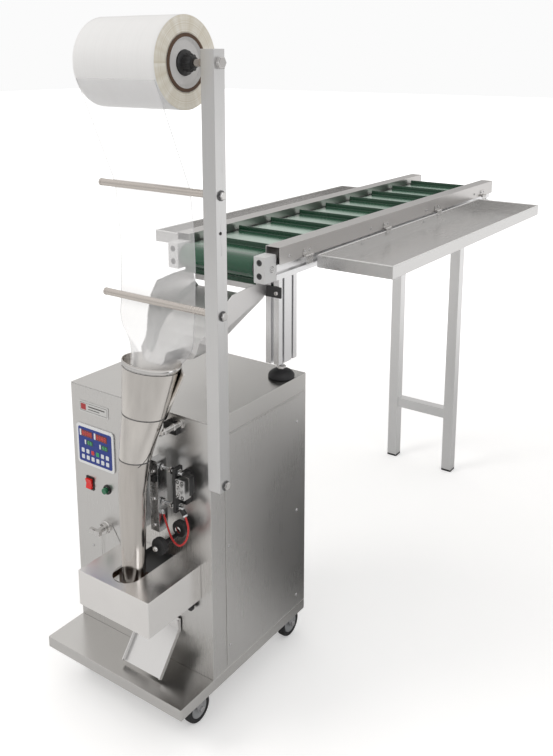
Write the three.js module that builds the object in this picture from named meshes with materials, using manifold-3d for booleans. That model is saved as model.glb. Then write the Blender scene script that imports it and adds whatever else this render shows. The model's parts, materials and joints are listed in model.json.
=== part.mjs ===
// Vertical form fill sealer with a cleated infeed conveyor, in millimetres, +Z up.
// The machine is laid out from the cabinet: X = 0 at its left side, Y = 0 at its front face,
// Z = 0 on the floor. The finished group is then moved so that the origin is the middle of
// the whole machine's footprint, on the floor.
import * as THREE from 'three';
import { mergeVertices } from 'three/addons/utils/BufferGeometryUtils.js';
import Module from 'manifold-3d';

const wasm = await Module();
wasm.setup();

// ---- Driving dimensions -------------------------------------------------------------------
const GAP = 0.3;                       // clearance between pieces that touch
const SHEET = 2;                       // folded stainless sheet

const CABINET = { width: 450, depth: 392, bottom: 126, capLine: 735, top: 783 };
const BASE = { front: -118, thickness: 29, wall: 3 };
const DOOR = { front: 52, back: 362, bottom: 134, top: 731 };

const CASTER = { wheelRadius: 38, wheelWidth: 24, trail: 24, inset: 50, frontY: -32, rearY: 360 };

const POST = { size: 35, wall: 2.5, front: -8, bottom: 627, top: 1599 };
const postMidY = POST.front + POST.size / 2;
const ROLL = { z: 1571, radius: 98, core: 60, coreWall: 7, left: 162, right: 398 };
const BOLT = { shank: 5, head: 8, headHeight: 5.4 };   // radii and head of a guide rod's bolt
const SHAFT = { radius: 8, head: 12, headHeight: 7.7 };
const GUIDE_ROD = { radius: 8.5, left: 130, upperZ: 1300, lowerZ: 1038 };
const FILM = 0.8;                      // the web's modelled thickness
const FILM_OFFSET = FILM / 2 + GAP;    // from a round piece to the middle of the web

// Forming trunk: [height, centre x, centre y, half width, half depth] of round sections.
const TRUNK_TOP = [[905, 296, -16, 80, 50], [850, 298, -34, 69, 43], [790, 300, -52, 57, 37]];
const TRUNK_MIDDLE = [[789, 300, -52, 56.5, 36.5], [740, 301, -72, 47, 33], [696, 302, -86, 39, 31]];
const TRUNK_TUBE = [[695, 302, -86, 38.5, 30.5], [620, 300, -96, 33, 30], [400, 297, -98, 26, 26]];
const TRUNK_WALL = 1.6;

const SEAL_BOX = { left: 197, right: 417, front: -178, bottom: 334, top: 422 };
const TUBE_X = 303;
const TUBE_Y = -95;

const BELT = { left: 171, right: 401, frontAxis: 257, rearAxis: 1598, axisZ: 1084, outer: 29, wall: 3 };
const CLEAT = { count: 19, height: 15, thickness: 4 };
const RAIL = { inner: 406, outer: 439, bottom: 1052, top: 1091, front: 276, rear: 1636 };
const GUARD = { inner: 407, outer: 449, bottom: 1092, top: 1136 };
const BLOCK = { front: 228, top: 1118 };
const conveyorMidX = (BELT.left + BELT.right) / 2;
const mirrorX = (x) => 2 * conveyorMidX - x;
const TRAY = { near: 456, reach: 216, front: 432, rear: 1487, rimTop: 1089, rim: 33 };
const LEG = { left: 395, right: 435, front: 292, back: 372, foot: 34 };
const STAND = { size: 38, y: 1534, leftX: 106, rightX: 342, barTop: 252, barBottom: 215 };

const ROUND = 32;                      // segments round a wheel or roller
const FINE = 48;                       // segments round the film roll and the trunk

// ---- Materials ----------------------------------------------------------------------------
const finish = (colour, roughness, metalness) =>
  new THREE.MeshStandardMaterial({ color: colour, roughness, metalness });
const brushedSteel = finish(0xc9c7c6, 0.38, 0.9);
const polishedSteel = finish(0xb9b3ad, 0.16, 1.0);
const plainSteel = finish(0x9b9b9b, 0.45, 0.9);
const satinRod = finish(0xcdc3bc, 0.35, 0.85);
const aluminium = finish(0xd8d8dc, 0.4, 0.85);
const whiteBlock = finish(0xe2e2e2, 0.5, 0.1);
const blackRubber = finish(0x17181a, 0.8, 0);
const blackPlastic = finish(0x1d1f21, 0.5, 0);
const greenBelt = finish(0x0f5a33, 0.45, 0);
const film = finish(0xf6f6f6, 0.25, 0);
const cardboard = finish(0x4a342a, 0.85, 0);
const hubPlastic = finish(0xe9e7e4, 0.5, 0);
const keypadBlue = finish(0x2a49b8, 0.45, 0);
const redPlastic = finish(0xc8141a, 0.35, 0);
const greenPlastic = finish(0x1f7a4a, 0.35, 0);
const paintedGrey = finish(0x59646b, 0.55, 0.3);
const castAluminium = finish(0xb9bbbd, 0.4, 0.8);

// ---- Making geometry ------------------------------------------------------------------------
// Box from its lowest to its highest corner.
function block(x0, y0, z0, x1, y1, z1) {
  const geometry = new THREE.BoxGeometry(x1 - x0, y1 - y0, z1 - z0);
  return geometry.translate((x0 + x1) / 2, (y0 + y1) / 2, (z0 + z1) / 2);
}

// Solid of revolution about a line through (x, y, z) along 'x', 'y' or 'z'. The profile is
// [radius, distance along the axis] and runs upwards, from the axis or round a closed loop.
function turned(profile, along, x, y, z, segments = ROUND) {
  const points = profile.map(([radius, distance]) => new THREE.Vector2(radius, distance));
  const geometry = new THREE.LatheGeometry(points, segments);
  if (along === 'x') geometry.rotateZ(-Math.PI / 2);
  if (along === 'z') geometry.rotateX(Math.PI / 2);
  return geometry.translate(x, y, z);
}

const rod = (radius, length, along, x, y, z, segments = ROUND) =>
  turned([[0, 0], [radius, 0], [radius, length], [0, length]], along, x, y, z, segments);

const ring = (inner, outer, length, along, x, y, z, segments = ROUND) =>
  turned([[inner, 0], [outer, 0], [outer, length], [inner, length], [inner, 0]],
    along, x, y, z, segments);

// Closed outline in the X-Y plane, raised along Z.
function raised(outline, height, holes = []) {
  const shape = new THREE.Shape(outline.map(([x, y]) => new THREE.Vector2(x, y)));
  for (const hole of holes) {
    shape.holes.push(new THREE.Path(hole.map(([x, y]) => new THREE.Vector2(x, y))));
  }
  return new THREE.ExtrudeGeometry(shape, { depth: height, bevelEnabled: false });
}

// Outline in (y, z), carried along +X from x0 to x1.
const alongX = (outline, x0, x1, holes = []) =>
  raised(outline, x1 - x0, holes).rotateX(Math.PI / 2).rotateZ(Math.PI / 2).translate(x0, 0, 0);

function solid(geometry) {
  const plain = geometry.clone();
  plain.deleteAttribute('normal');
  plain.deleteAttribute('uv');
  const merged = mergeVertices(plain, 1e-4);
  return new wasm.Manifold(new wasm.Mesh({
    numProp: 3,
    vertProperties: new Float32Array(merged.attributes.position.array),
    triVerts: new Uint32Array(merged.index.array),
  }));
}

function geometryOf(manifold) {
  const mesh = manifold.getMesh();
  const geometry = new THREE.BufferGeometry();
  geometry.setAttribute('position', new THREE.BufferAttribute(mesh.vertProperties, 3));
  geometry.setIndex(new THREE.BufferAttribute(mesh.triVerts, 1));
  geometry.computeVertexNormals();
  return geometry;
}

const joined = (...pieces) =>
  geometryOf(pieces.slice(1).reduce((sum, piece) => sum.add(solid(piece)), solid(pieces[0])));

const cut = (piece, ...tools) =>
  geometryOf(tools.reduce((rest, tool) => rest.subtract(solid(tool)), solid(piece)));

// A sheet of even thickness through a grid of points. A looped sheet closes on itself across
// its rows, as a tube does. The thickness goes to the side of rows x columns.
function sheet(rows, thickness, looped = false) {
  const across = rows[0].length;
  const down = rows.length;
  const point = (i, j) => {
    const column = looped ? (j + across) % across : Math.min(Math.max(j, 0), across - 1);
    return rows[Math.min(Math.max(i, 0), down - 1)][column];
  };
  const faces = [];
  const positions = [];
  for (const side of [-0.5, 0.5]) {
    for (let i = 0; i < down; i++) {
      for (let j = 0; j < across; j++) {
        const lengthways = point(i + 1, j).clone().sub(point(i - 1, j));
        const sideways = point(i, j + 1).clone().sub(point(i, j - 1));
        const normal = lengthways.cross(sideways).normalize();
        const place = point(i, j).clone().addScaledVector(normal, side * thickness);
        positions.push(place.x, place.y, place.z);
      }
    }
  }
  const index = (side, i, j) => side * down * across + i * across + (j % across);
  const quad = (a, b, c, d) => faces.push(a, b, c, a, c, d);
  const last = looped ? across : across - 1;
  for (let i = 0; i < down - 1; i++) {
    for (let j = 0; j < last; j++) {
      quad(index(1, i, j), index(1, i + 1, j), index(1, i + 1, j + 1), index(1, i, j + 1));
      quad(index(0, i, j), index(0, i, j + 1), index(0, i + 1, j + 1), index(0, i + 1, j));
    }
  }
  for (let j = 0; j < last; j++) {
    quad(index(0, 0, j), index(1, 0, j), index(1, 0, j + 1), index(0, 0, j + 1));
    quad(index(1, down - 1, j), index(0, down - 1, j), index(0, down - 1, j + 1),
      index(1, down - 1, j + 1));
  }
  for (let i = 0; !looped && i < down - 1; i++) {
    const edge = across - 1;
    quad(index(1, i, 0), index(0, i, 0), index(0, i + 1, 0), index(1, i + 1, 0));
    quad(index(0, i, edge), index(1, i, edge), index(1, i + 1, edge), index(0, i + 1, edge));
  }
  const geometry = new THREE.BufferGeometry();
  geometry.setAttribute('position', new THREE.Float32BufferAttribute(positions, 3));
  geometry.setIndex(faces);
  geometry.computeVertexNormals();
  return geometry;
}

const machine = new THREE.Group();

function add(name, geometry, material) {
  const mesh = new THREE.Mesh(geometry, material);
  mesh.name = name;
  machine.add(mesh);
}

// ---- Cabinet ----------------------------------------------------------------------------------
function cabinet() {
  const { width, depth, bottom, capLine, top } = CABINET;
  const under = bottom - BASE.thickness;
  add('base_plate', cut(
    block(0, BASE.front, under, width, depth, bottom),
    block(BASE.wall, BASE.front + BASE.wall, under - 1, width - BASE.wall, depth - BASE.wall,
      bottom - BASE.wall),
  ), brushedSteel);

  // Shell of folded sheet: open below and above, with a door opening on the right, a service
  // opening behind, and round holes in front for the shafts and slides of the mechanism.
  const frontHoles = [
    [TUBE_X - 50, 483, 6.5], [TUBE_X + 50, 483, 6.5],
    [215, 365, 7], [399, 365, 7], [TUBE_X + 4, 365, 9],
  ].map(([x, z, radius]) => rod(radius, 12, 'y', x, -5, z, 20));
  const underLid = top - SHEET - GAP;    // the front wall goes up to the cover's top sheet
  add('cabinet_shell', cut(
    joined(
      block(0, 0, bottom + GAP, width, depth, capLine),
      block(0, 0, capLine - 1, width, SHEET, underLid),
    ),
    block(SHEET, SHEET, bottom - 5, width - SHEET, depth - SHEET, capLine + 5),
    block(width - 5, DOOR.front + 10, DOOR.bottom + 10, width + 5, DOOR.back - 10, DOOR.top - 12),
    block(40, depth - 5, DOOR.bottom + 30, width - 40, depth + 5, DOOR.top - 40),
    ...frontHoles,
  ), brushedSteel);

  add('top_cover', cut(
    block(0, 0, capLine + GAP, width, depth, top),
    block(SHEET, SHEET, capLine - 5, width - SHEET, depth - SHEET, top - SHEET),
    block(-1, -1, capLine - 1, width + 1, SHEET + GAP, top - SHEET),
  ), brushedSteel);

  add('right_door', block(width + GAP, DOOR.front, DOOR.bottom, width + GAP + 1.5, DOOR.back,
    DOOR.top), brushedSteel);
  add('rear_cover', block(30, depth + GAP, DOOR.bottom + 20, width - 30, depth + GAP + 1.5,
    DOOR.top - 30), brushedSteel);
}

// ---- Drive and controls inside the cabinet ------------------------------------------------------
function insides() {
  const floor = CABINET.bottom + GAP;
  add('gear_motor', joined(
    block(150, 150, floor, 270, 270, floor + 120),
    rod(55, 150, 'z', 210, 210, floor + 119, 28),
    rod(12, 60, 'y', 210, 95, floor + 60, 20),
  ), paintedGrey);
  add('control_box', block(20, 60, 480, 62, 330, 720), paintedGrey);
}

// ---- Panel on the cabinet front -----------------------------------------------------------------
function frontControls() {
  const face = -GAP;
  add('control_panel', block(16, face - 4, 572, 147, face, 680), keypadBlue);
  add('rocker_switch', alongX([[-2.5, 508], [-8, 508], [-5.5, 521], [-9.5, 534], [-2.5, 534]],
    44, 64), redPlastic);
  add('push_button', turned([[0, 0], [8, 0], [8, 9], [6.5, 10.5], [0, 10.5]], 'y',
    115, -13, 521, 24), greenPlastic);
  add('latch_bracket', rod(14, 12, 'y', 104, face - 12, 414, 24), polishedSteel);
  add('latch_handle', joined(
    rod(7, 24, 'y', 104, face - 12 - GAP - 24, 414, 20),
    block(80, face - 36, 408, 116, face - 26, 420),
  ), polishedSteel);
}

// ---- Forming trunk: film and product go in at the top --------------------------------------------
function trunkSection(sections) {
  const rows = sections.map(([z, x, y, halfWidth, halfDepth]) =>
    Array.from({ length: FINE }, (_, j) => {
      const turn = (2 * Math.PI * j) / FINE;
      return new THREE.Vector3(x + halfWidth * Math.cos(turn), y + halfDepth * Math.sin(turn), z);
    }));
  return sheet(rows, TRUNK_WALL, true);
}

function trunk() {
  add('trunk_top', trunkSection(TRUNK_TOP), polishedSteel);
  add('trunk_middle', trunkSection(TRUNK_MIDDLE), polishedSteel);
  add('trunk_tube', trunkSection(TRUNK_TUBE), polishedSteel);
}

// ---- Vertical sealing jaws and pull wheels, between the trunk and the cabinet ---------------------
function verticalSealing() {
  const rodHeights = [578, 664];
  const jawRight = 338;
  const arm = { left: 378, right: 386 };
  add('vertical_jaw_right', joined(
    block(312, -52, 504, jawRight, -22, 682),
    ...rodHeights.map((z) => rod(4, 64, 'x', jawRight - 1, -37, z, 16)),
  ), castAluminium);
  add('vertical_jaw_left', block(270, -50, 504, 296, -22, 672), castAluminium);
  add('seal_arm', cut(
    joined(
      block(arm.left, -47, 566, arm.right, -20, 675),
      block(arm.left, -21, 578, arm.right + 10, -GAP, 656),
    ),
    ...rodHeights.map((z) => rod(4 + GAP, 30, 'x', arm.left - 10, -37, z, 16)),
  ), blackPlastic);
  add('air_cylinder', block(arm.right + GAP, -46, 604, 412, -23, 652), polishedSteel);

  for (const [side, x] of [['right', TUBE_X + 50], ['left', TUBE_X - 50]]) {
    add(`pull_wheel_${side}`, turned(
      [[0, -8], [7, -8], [7, -1], [20, 0], [20, 14], [5, 15], [5, 105], [0, 105]],
      'y', x, -74, 483, ROUND), blackRubber);
  }
  add('tension_knob', turned([[0, 0], [20, 2], [20, 14], [9, 17], [9, 27], [0, 27]], 'y',
    374, -GAP - 27, 512, 24), blackPlastic);

  // Red lead of the heater: a loop from the right-hand jaw to a plug on the arm.
  const route = new THREE.CatmullRomCurve3([
    new THREE.Vector3(342, -40, 548), new THREE.Vector3(352, -40, 520),
    new THREE.Vector3(367, -40, 491), new THREE.Vector3(388, -40, 482),
    new THREE.Vector3(409, -40, 503), new THREE.Vector3(417, -40, 536),
    new THREE.Vector3(408, -38, 560), new THREE.Vector3(391, -36, 568),
  ]);
  const section = new THREE.Shape().absarc(0, 0, 2.4, 0, 2 * Math.PI);
  add('heater_lead', new THREE.ExtrudeGeometry(section, {
    extrudePath: route, steps: 30, curveSegments: 5, bevelEnabled: false,
  }), redPlastic);
}

// ---- Cross sealing jaws in their box, and the chute below ------------------------------------------
function crossSealing() {
  const { left, right, front, bottom, top } = SEAL_BOX;
  const slot = joined(
    rod(36, 60, 'z', TUBE_X, -122, top - 30, FINE),
    block(TUBE_X - 36, -122, top - 30, TUBE_X + 36, 10, top + 30),
  );
  add('seal_box', cut(
    block(left, front, bottom, right, -GAP, top),
    block(left + SHEET, front + SHEET, bottom - 5, right - SHEET, 5, top - SHEET),
    slot,
  ), polishedSteel);

  add('cross_jaw_front', joined(
    block(207, -146, 350, 407, -112, 380),
    rod(6, 180, 'y', 215, -120, 365, 20),
    rod(6, 180, 'y', 399, -120, 365, 20),
  ), castAluminium);
  add('cross_jaw_rear', joined(
    block(228, -80, 350, 386, -46, 380),
    rod(8, 110, 'y', TUBE_X + 4, -50, 365, 20),
  ), castAluminium);

  // Chute: floor plate and two side flanges, leaning out from the cabinet.
  const lip = { y: -9, z: 7 };           // the flanges stand square to the floor plate
  const chuteRows = [[-4, 256], [-4, 224], [-30, 191], [-76, 133]].map(([y, z], row) => {
    const rise = row === 0 ? { y: -11, z: 0 } : lip;
    return [new THREE.Vector3(231, y + rise.y, z + rise.z), new THREE.Vector3(231, y, z),
      new THREE.Vector3(352, y, z), new THREE.Vector3(352, y + rise.y, z + rise.z)];
  });
  add('chute', sheet(chuteRows, SHEET), brushedSteel);
}

// ---- Casters -------------------------------------------------------------------------------------
function caster(name, x, y) {
  const { wheelRadius, wheelWidth, trail } = CASTER;
  const topZ = CABINET.bottom - BASE.wall - GAP;
  const wheelY = y + trail;
  const cheek = [[y - 16, topZ - 18], [wheelY - 7, wheelRadius - 6], [wheelY + 9, wheelRadius - 6],
    [y + 16, topZ - 18]].reverse();
  const half = wheelWidth / 2;
  add(`${name}_fork`, joined(
    rod(20, 12, 'z', x, y, topZ - 12, 24),
    block(x - half - 5, y - 16, topZ - 20, x + half + 5, y + 16, topZ - 11),
    alongX(cheek, x + half + 2, x + half + 5),
    alongX(cheek, x - half - 5, x - half - 2),
  ), plainSteel);
  add(`${name}_wheel`, turned([
    [0, -1.5], [7, -1.5], [7, 1], [14, 1], [25, 0], [wheelRadius - 5, 0], [wheelRadius, 5],
    [wheelRadius, wheelWidth - 5], [wheelRadius - 5, wheelWidth], [25, wheelWidth],
    [14, wheelWidth - 1], [7, wheelWidth - 1], [7, wheelWidth + 1.5], [0, wheelWidth + 1.5],
  ], 'x', x - half, wheelY, wheelRadius, ROUND), blackRubber);
}

function casters() {
  const { inset, frontY, rearY } = CASTER;
  for (const [side, x] of [['left', inset], ['right', CABINET.width - inset]]) {
    caster(`front_${side}_caster`, x, frontY);
    caster(`rear_${side}_caster`, x, rearY);
  }
}

// ---- Film unwind: post, roll and guide rods ---------------------------------------------------------
function unwind() {
  const { size, wall, front, bottom, top } = POST;
  const left = CABINET.width + GAP;
  const outer = (inset, x) => [[x + inset, front + inset], [x + size - inset, front + inset],
    [x + size - inset, front + size - inset], [x + inset, front + size - inset]];
  const tube = raised(outer(0, left), top - bottom, [outer(wall, left).reverse()])
    .translate(0, 0, bottom);
  const crossHole = (radius, z) =>
    rod(radius, size + 20, 'x', left - 10, postMidY, z, 24);
  add('post', cut(tube, crossHole(SHAFT.radius + GAP, ROLL.z),
    crossHole(BOLT.shank + GAP, GUIDE_ROD.upperZ),
    crossHole(BOLT.shank + GAP, GUIDE_ROD.lowerZ)), brushedSteel);

  // Guide rods: a bolt through the post carries each one from its right-hand end.
  for (const [name, z] of [['upper_guide_rod', GUIDE_ROD.upperZ],
    ['lower_guide_rod', GUIDE_ROD.lowerZ]]) {
    const shoulder = left - GAP - GUIDE_ROD.left;
    const far = shoulder + size + 2 * GAP;
    add(name, turned([[0, 0], [GUIDE_ROD.radius, 0], [GUIDE_ROD.radius, shoulder],
      [BOLT.shank, shoulder], [BOLT.shank, far], [BOLT.head, far], [BOLT.head, far + BOLT.headHeight],
      [0, far + BOLT.headHeight]], 'x', GUIDE_ROD.left, postMidY, z, 24), satinRod);
  }

  const shaftLeft = ROLL.left - 22;
  const reach = left - shaftLeft + size + GAP;
  add('roll_shaft', turned([[0, 0], [SHAFT.radius, 0], [SHAFT.radius, reach], [SHAFT.head, reach],
    [SHAFT.head, reach + SHAFT.headHeight], [0, reach + SHAFT.headHeight]],
  'x', shaftLeft, postMidY, ROLL.z, 24), satinRod);

  const width = ROLL.right - ROLL.left;
  const coreInner = ROLL.core - ROLL.coreWall;
  const bore = SHAFT.radius + GAP;
  add('film_roll', ring(ROLL.core + GAP, ROLL.radius, width, 'x', ROLL.left, postMidY, ROLL.z, 64),
    film);
  add('roll_core', ring(coreInner, ROLL.core, width + 4, 'x', ROLL.left - 2, postMidY, ROLL.z,
    FINE), cardboard);
  const plug = coreInner - GAP;
  add('roll_hub', turned([[bore, 6], [plug, 6], [plug, 22], [22, 26], [22, width - 26],
    [plug, width - 22], [plug, width - 6], [bore, width - 6], [bore, 6]],
  'x', ROLL.left, postMidY, ROLL.z, FINE), hubPlastic);
  add('hand_nut', turned([[bore, 0], [26, 0], [26, 5], [17, 9], [17, 24], [12, 28], [bore, 28],
    [bore, 0]], 'x', ROLL.right - 6 + GAP, postMidY, ROLL.z, 24), blackPlastic);
}

// ---- Film: off the front of the roll, behind the guide rods, into the trunk ---------------------------
// Where a line from (y, z) touches the front of the roll.
function tangentToRoll(y, z) {
  const radius = ROLL.radius + FILM_OFFSET;
  const distance = Math.hypot(postMidY - y, ROLL.z - z);
  const turn = Math.atan2(ROLL.z - z, postMidY - y) + Math.asin(radius / distance);
  const length = Math.sqrt(distance ** 2 - radius ** 2);
  return [y + length * Math.cos(turn), z + length * Math.sin(turn)];
}

function filmWeb() {
  const start = ROLL.left + 3;
  const end = ROLL.right - 3;
  // [y, z, share of the full width, bow of the middle towards the front]
  const onRod = (degrees) => {
    const turn = THREE.MathUtils.degToRad(degrees);
    const reach = GUIDE_ROD.radius + FILM_OFFSET;
    return [postMidY + reach * Math.cos(turn), GUIDE_ROD.upperZ + reach * Math.sin(turn), 1, 0];
  };
  const [rodY, rodZ] = onRod(24);
  const [rollY, rollZ] = tangentToRoll(rodY, rodZ);
  const between = [0, 0.25, 0.5, 0.75].map((share) =>
    [THREE.MathUtils.lerp(rollY, rodY, share), THREE.MathUtils.lerp(rollZ, rodZ, share), 1, 0]);
  const stations = [...between, onRod(24), onRod(8), onRod(-8),
    [28, 1215, 0.99, 0], [32, 1130, 0.98, 0], [27, 1045, 0.96, 0], [12, 1000, 0.9, 6],
    [-6, 950, 0.74, 24], [-22, 905, 0.58, 30], [-34, 872, 0.5, 28]];
  const middle = (start + end) / 2;
  const trunkX = TRUNK_TOP[0][1];
  const rows = stations.map(([y, z, share, bow]) => Array.from({ length: 9 }, (_, j) => {
    const across = j / 4 - 1;
    const centre = THREE.MathUtils.lerp(trunkX, middle, Math.min(1, (share - 0.5) * 2));
    const x = centre + (across * share * (end - start)) / 2;
    return new THREE.Vector3(x, y - bow * (1 - across * across), z);
  }));
  add('film_web', sheet(rows, FILM), film);
}

// ---- Hopper: a folded trough from the belt's end down into the trunk ------------------------------------
function hopper() {
  // [y, floor height, wall height, left rim, left floor, right floor, right rim]
  const stations = [[288, 998, 46, 162, 174, 398, 402], [215, 970, 74, 162, 176, 398, 402],
    [150, 943, 96, 164, 182, 397, 402], [112, 930, 84, 178, 200, 396, 401],
    [70, 919, 62, 206, 228, 394, 400], [34, 912, 42, 236, 250, 386, 398],
    [12, 908, 36, 252, 262, 340, 368], [-8, 896, 34, 258, 266, 326, 334]];
  const rows = stations.map(([y, z, wall, leftRim, leftFloor, rightFloor, rightRim]) => [
    [leftRim, z + wall], [leftFloor - 5, z + wall * 0.25], [leftFloor + 8, z],
    [rightFloor - 8, z], [rightFloor, z + wall * 0.25], [rightRim, z + wall],
  ].map(([x, height]) => new THREE.Vector3(x, y, height)));
  add('hopper', sheet(rows, 1.5), brushedSteel);
}

// ---- Conveyor -----------------------------------------------------------------------------
// The belt's closed line: distance along it gives a place and the outward direction.
function beltPoint(distance, radius) {
  const straight = BELT.rearAxis - BELT.frontAxis;
  const half = Math.PI * BELT.outer;
  const lap = 2 * (straight + half);
  let s = ((distance % lap) + lap) % lap;
  if (s < straight) return { y: BELT.frontAxis + s, z: BELT.axisZ + radius, turn: 0 };
  s -= straight;
  if (s < half) {
    const turn = s / BELT.outer;
    return { y: BELT.rearAxis + radius * Math.sin(turn), z: BELT.axisZ + radius * Math.cos(turn),
      turn };
  }
  s -= half;
  if (s < straight) return { y: BELT.rearAxis - s, z: BELT.axisZ - radius, turn: Math.PI };
  s -= straight;
  const turn = Math.PI + s / BELT.outer;
  return { y: BELT.frontAxis + radius * Math.sin(turn), z: BELT.axisZ + radius * Math.cos(turn),
    turn };
}

function stadium(radius) {
  const steps = 16;
  const arc = (axis, from) => Array.from({ length: steps + 1 }, (_, i) => {
    const turn = from + (Math.PI * i) / steps;
    return [axis + radius * Math.sin(turn), BELT.axisZ + radius * Math.cos(turn)];
  });
  return [...arc(BELT.rearAxis, 0), ...arc(BELT.frontAxis, Math.PI)];
}

function belt() {
  const loop = alongX(stadium(BELT.outer).reverse(), BELT.left, BELT.right,
    [stadium(BELT.outer - BELT.wall)]);
  const lap = 2 * (BELT.rearAxis - BELT.frontAxis + Math.PI * BELT.outer);
  const cleats = Array.from({ length: CLEAT.count }, (_, i) => {
    const { y, z, turn } = beltPoint(67 + (i * lap) / CLEAT.count, BELT.outer);
    return new THREE.BoxGeometry(BELT.right - BELT.left - 6, CLEAT.thickness, CLEAT.height)
      .translate(0, 0, CLEAT.height / 2 - 0.5).rotateX(-turn).translate(conveyorMidX, y, z);
  });
  add('belt', joined(loop, ...cleats), greenBelt);
}

function roller(name, y) {
  const radius = BELT.outer - BELT.wall - GAP;
  const length = BELT.right - BELT.left;
  const stub = 22;
  add(name, turned([[0, -stub], [7, -stub], [7, 0], [radius, 0], [radius, length], [7, length],
    [7, length + stub], [0, length + stub]], 'x', BELT.left, y, BELT.axisZ, ROUND), plainSteel);
}

function sideFrames() {
  const shaftHole = (y) => rod(7 + GAP, 400, 'x', conveyorMidX - 200, y, BELT.axisZ, 20);
  for (const [side, place] of [['right', (x) => x], ['left', mirrorX]]) {
    const across = (a, b) => [Math.min(place(a), place(b)), Math.max(place(a), place(b))];
    const bar = (a, b, y0, y1, z0, z1) => {
      const [x0, x1] = across(a, b);
      return block(x0, y0, z0, x1, y1, z1);
    };
    // Rail: an aluminium profile with one groove along its outer side and one below.
    add(`${side}_rail`, cut(
      bar(RAIL.inner, RAIL.outer, RAIL.front, RAIL.rear, RAIL.bottom, RAIL.top),
      bar(RAIL.outer - 8, RAIL.outer + 5, RAIL.front - 5, RAIL.rear + 5, 1066, 1074),
      shaftHole(BELT.rearAxis),
    ), aluminium);
    add(`${side}_end_block`, cut(
      bar(RAIL.inner, RAIL.outer, BLOCK.front, RAIL.front - GAP, RAIL.bottom, BLOCK.top),
      shaftHole(BELT.frontAxis),
    ), whiteBlock);
    // Guard: folded channel, its top strip level with the cleats.
    add(`${side}_guard`, cut(
      bar(GUARD.inner, GUARD.outer, RAIL.front, RAIL.rear, GUARD.bottom, GUARD.top),
      bar(GUARD.inner + SHEET, GUARD.outer - SHEET, RAIL.front - 5, RAIL.rear + 5,
        GUARD.bottom - 5, GUARD.top - SHEET),
    ), brushedSteel);
    const outer = TRAY.near + TRAY.reach;
    const floor = TRAY.rimTop - TRAY.rim;
    add(`${side}_tray`, cut(
      bar(TRAY.near, outer, TRAY.front, TRAY.rear, floor, TRAY.rimTop),
      bar(TRAY.near + SHEET, outer - SHEET, TRAY.front + SHEET, TRAY.rear - SHEET,
        floor + SHEET, TRAY.rimTop + 5),
    ), brushedSteel);
  }
  const bed = [BELT.frontAxis + 40, BELT.rearAxis - 40];
  add('belt_bed', cut(
    block(BELT.left + 4, bed[0], 1072, BELT.right - 4, bed[1], 1108),
    block(BELT.left + 7, bed[0] - 5, 1060, BELT.right - 7, bed[1] + 5, 1105),
  ), plainSteel);
}

// ---- Supports of the conveyor -------------------------------------------------------------
function supports() {
  const { left, right, front, back, foot } = LEG;
  const midX = (left + right) / 2;
  const midY = (front + back) / 2;
  // Slotted profile, 40 x 80: one slot in each narrow side, two in each wide side.
  const slot = 8;
  const depth = 11;
  const notch = (x, y, dx, dy) => block(x - dx, y - dy, 0, x + dx, y + dy, 2000);
  const legBottom = CABINET.top + 46;
  const slots = [notch(midX, front, slot / 2, depth), notch(midX, back, slot / 2, depth),
    notch(left, front + 20, depth, slot / 2), notch(left, back - 20, depth, slot / 2),
    notch(right, front + 20, depth, slot / 2), notch(right, back - 20, depth, slot / 2)];
  add('support_leg', cut(block(left, front, legBottom, right, back, RAIL.bottom - GAP), ...slots),
    aluminium);
  add('levelling_foot', turned([[0, 0], [foot, 0], [foot, 10], [foot - 8, 20], [15, 24], [15, 32],
    [7, 32], [7, 45], [0, 45]], 'z', midX, midY, CABINET.top + GAP, ROUND), blackRubber);

  const { size, y, leftX, rightX, barTop, barBottom } = STAND;
  const rest = RAIL.bottom - GAP;
  const bearer = 24;
  const frame = joined(
    block(leftX, y, 0, leftX + size, y + size, rest),
    block(rightX, y, 0, rightX + size, y + size, rest),
    block(leftX + 1, y + 2, barBottom, rightX + 1, y + size - 2, barTop),
    block(mirrorX(RAIL.outer), y + 1, rest - bearer, RAIL.outer, y + size - 1, rest - 0.01),
  );
  // Tube walls: each leg is open below, and the crossbar opens into both legs.
  add('rear_stand', cut(frame,
    block(leftX + SHEET, y + SHEET, -1, leftX + size - SHEET, y + size - SHEET, rest - bearer),
    block(rightX + SHEET, y + SHEET, -1, rightX + size - SHEET, y + size - SHEET, rest - bearer),
    block(leftX + size / 2, y + 2 * SHEET, barBottom + SHEET, rightX + size / 2,
      y + size - 2 * SHEET, barTop - SHEET),
  ), brushedSteel);
}

cabinet();
insides();
frontControls();
trunk();
verticalSealing();
crossSealing();
casters();
unwind();
filmWeb();
hopper();
belt();
roller('drive_roller', BELT.frontAxis);
roller('idler_roller', BELT.rearAxis);
sideFrames();
supports();

// Origin: the middle of the footprint, on the floor.
const extent = new THREE.Box3().setFromObject(machine);
const centre = extent.getCenter(new THREE.Vector3());
machine.position.set(-centre.x, -centre.y, -extent.min.z);

export default machine;
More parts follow.
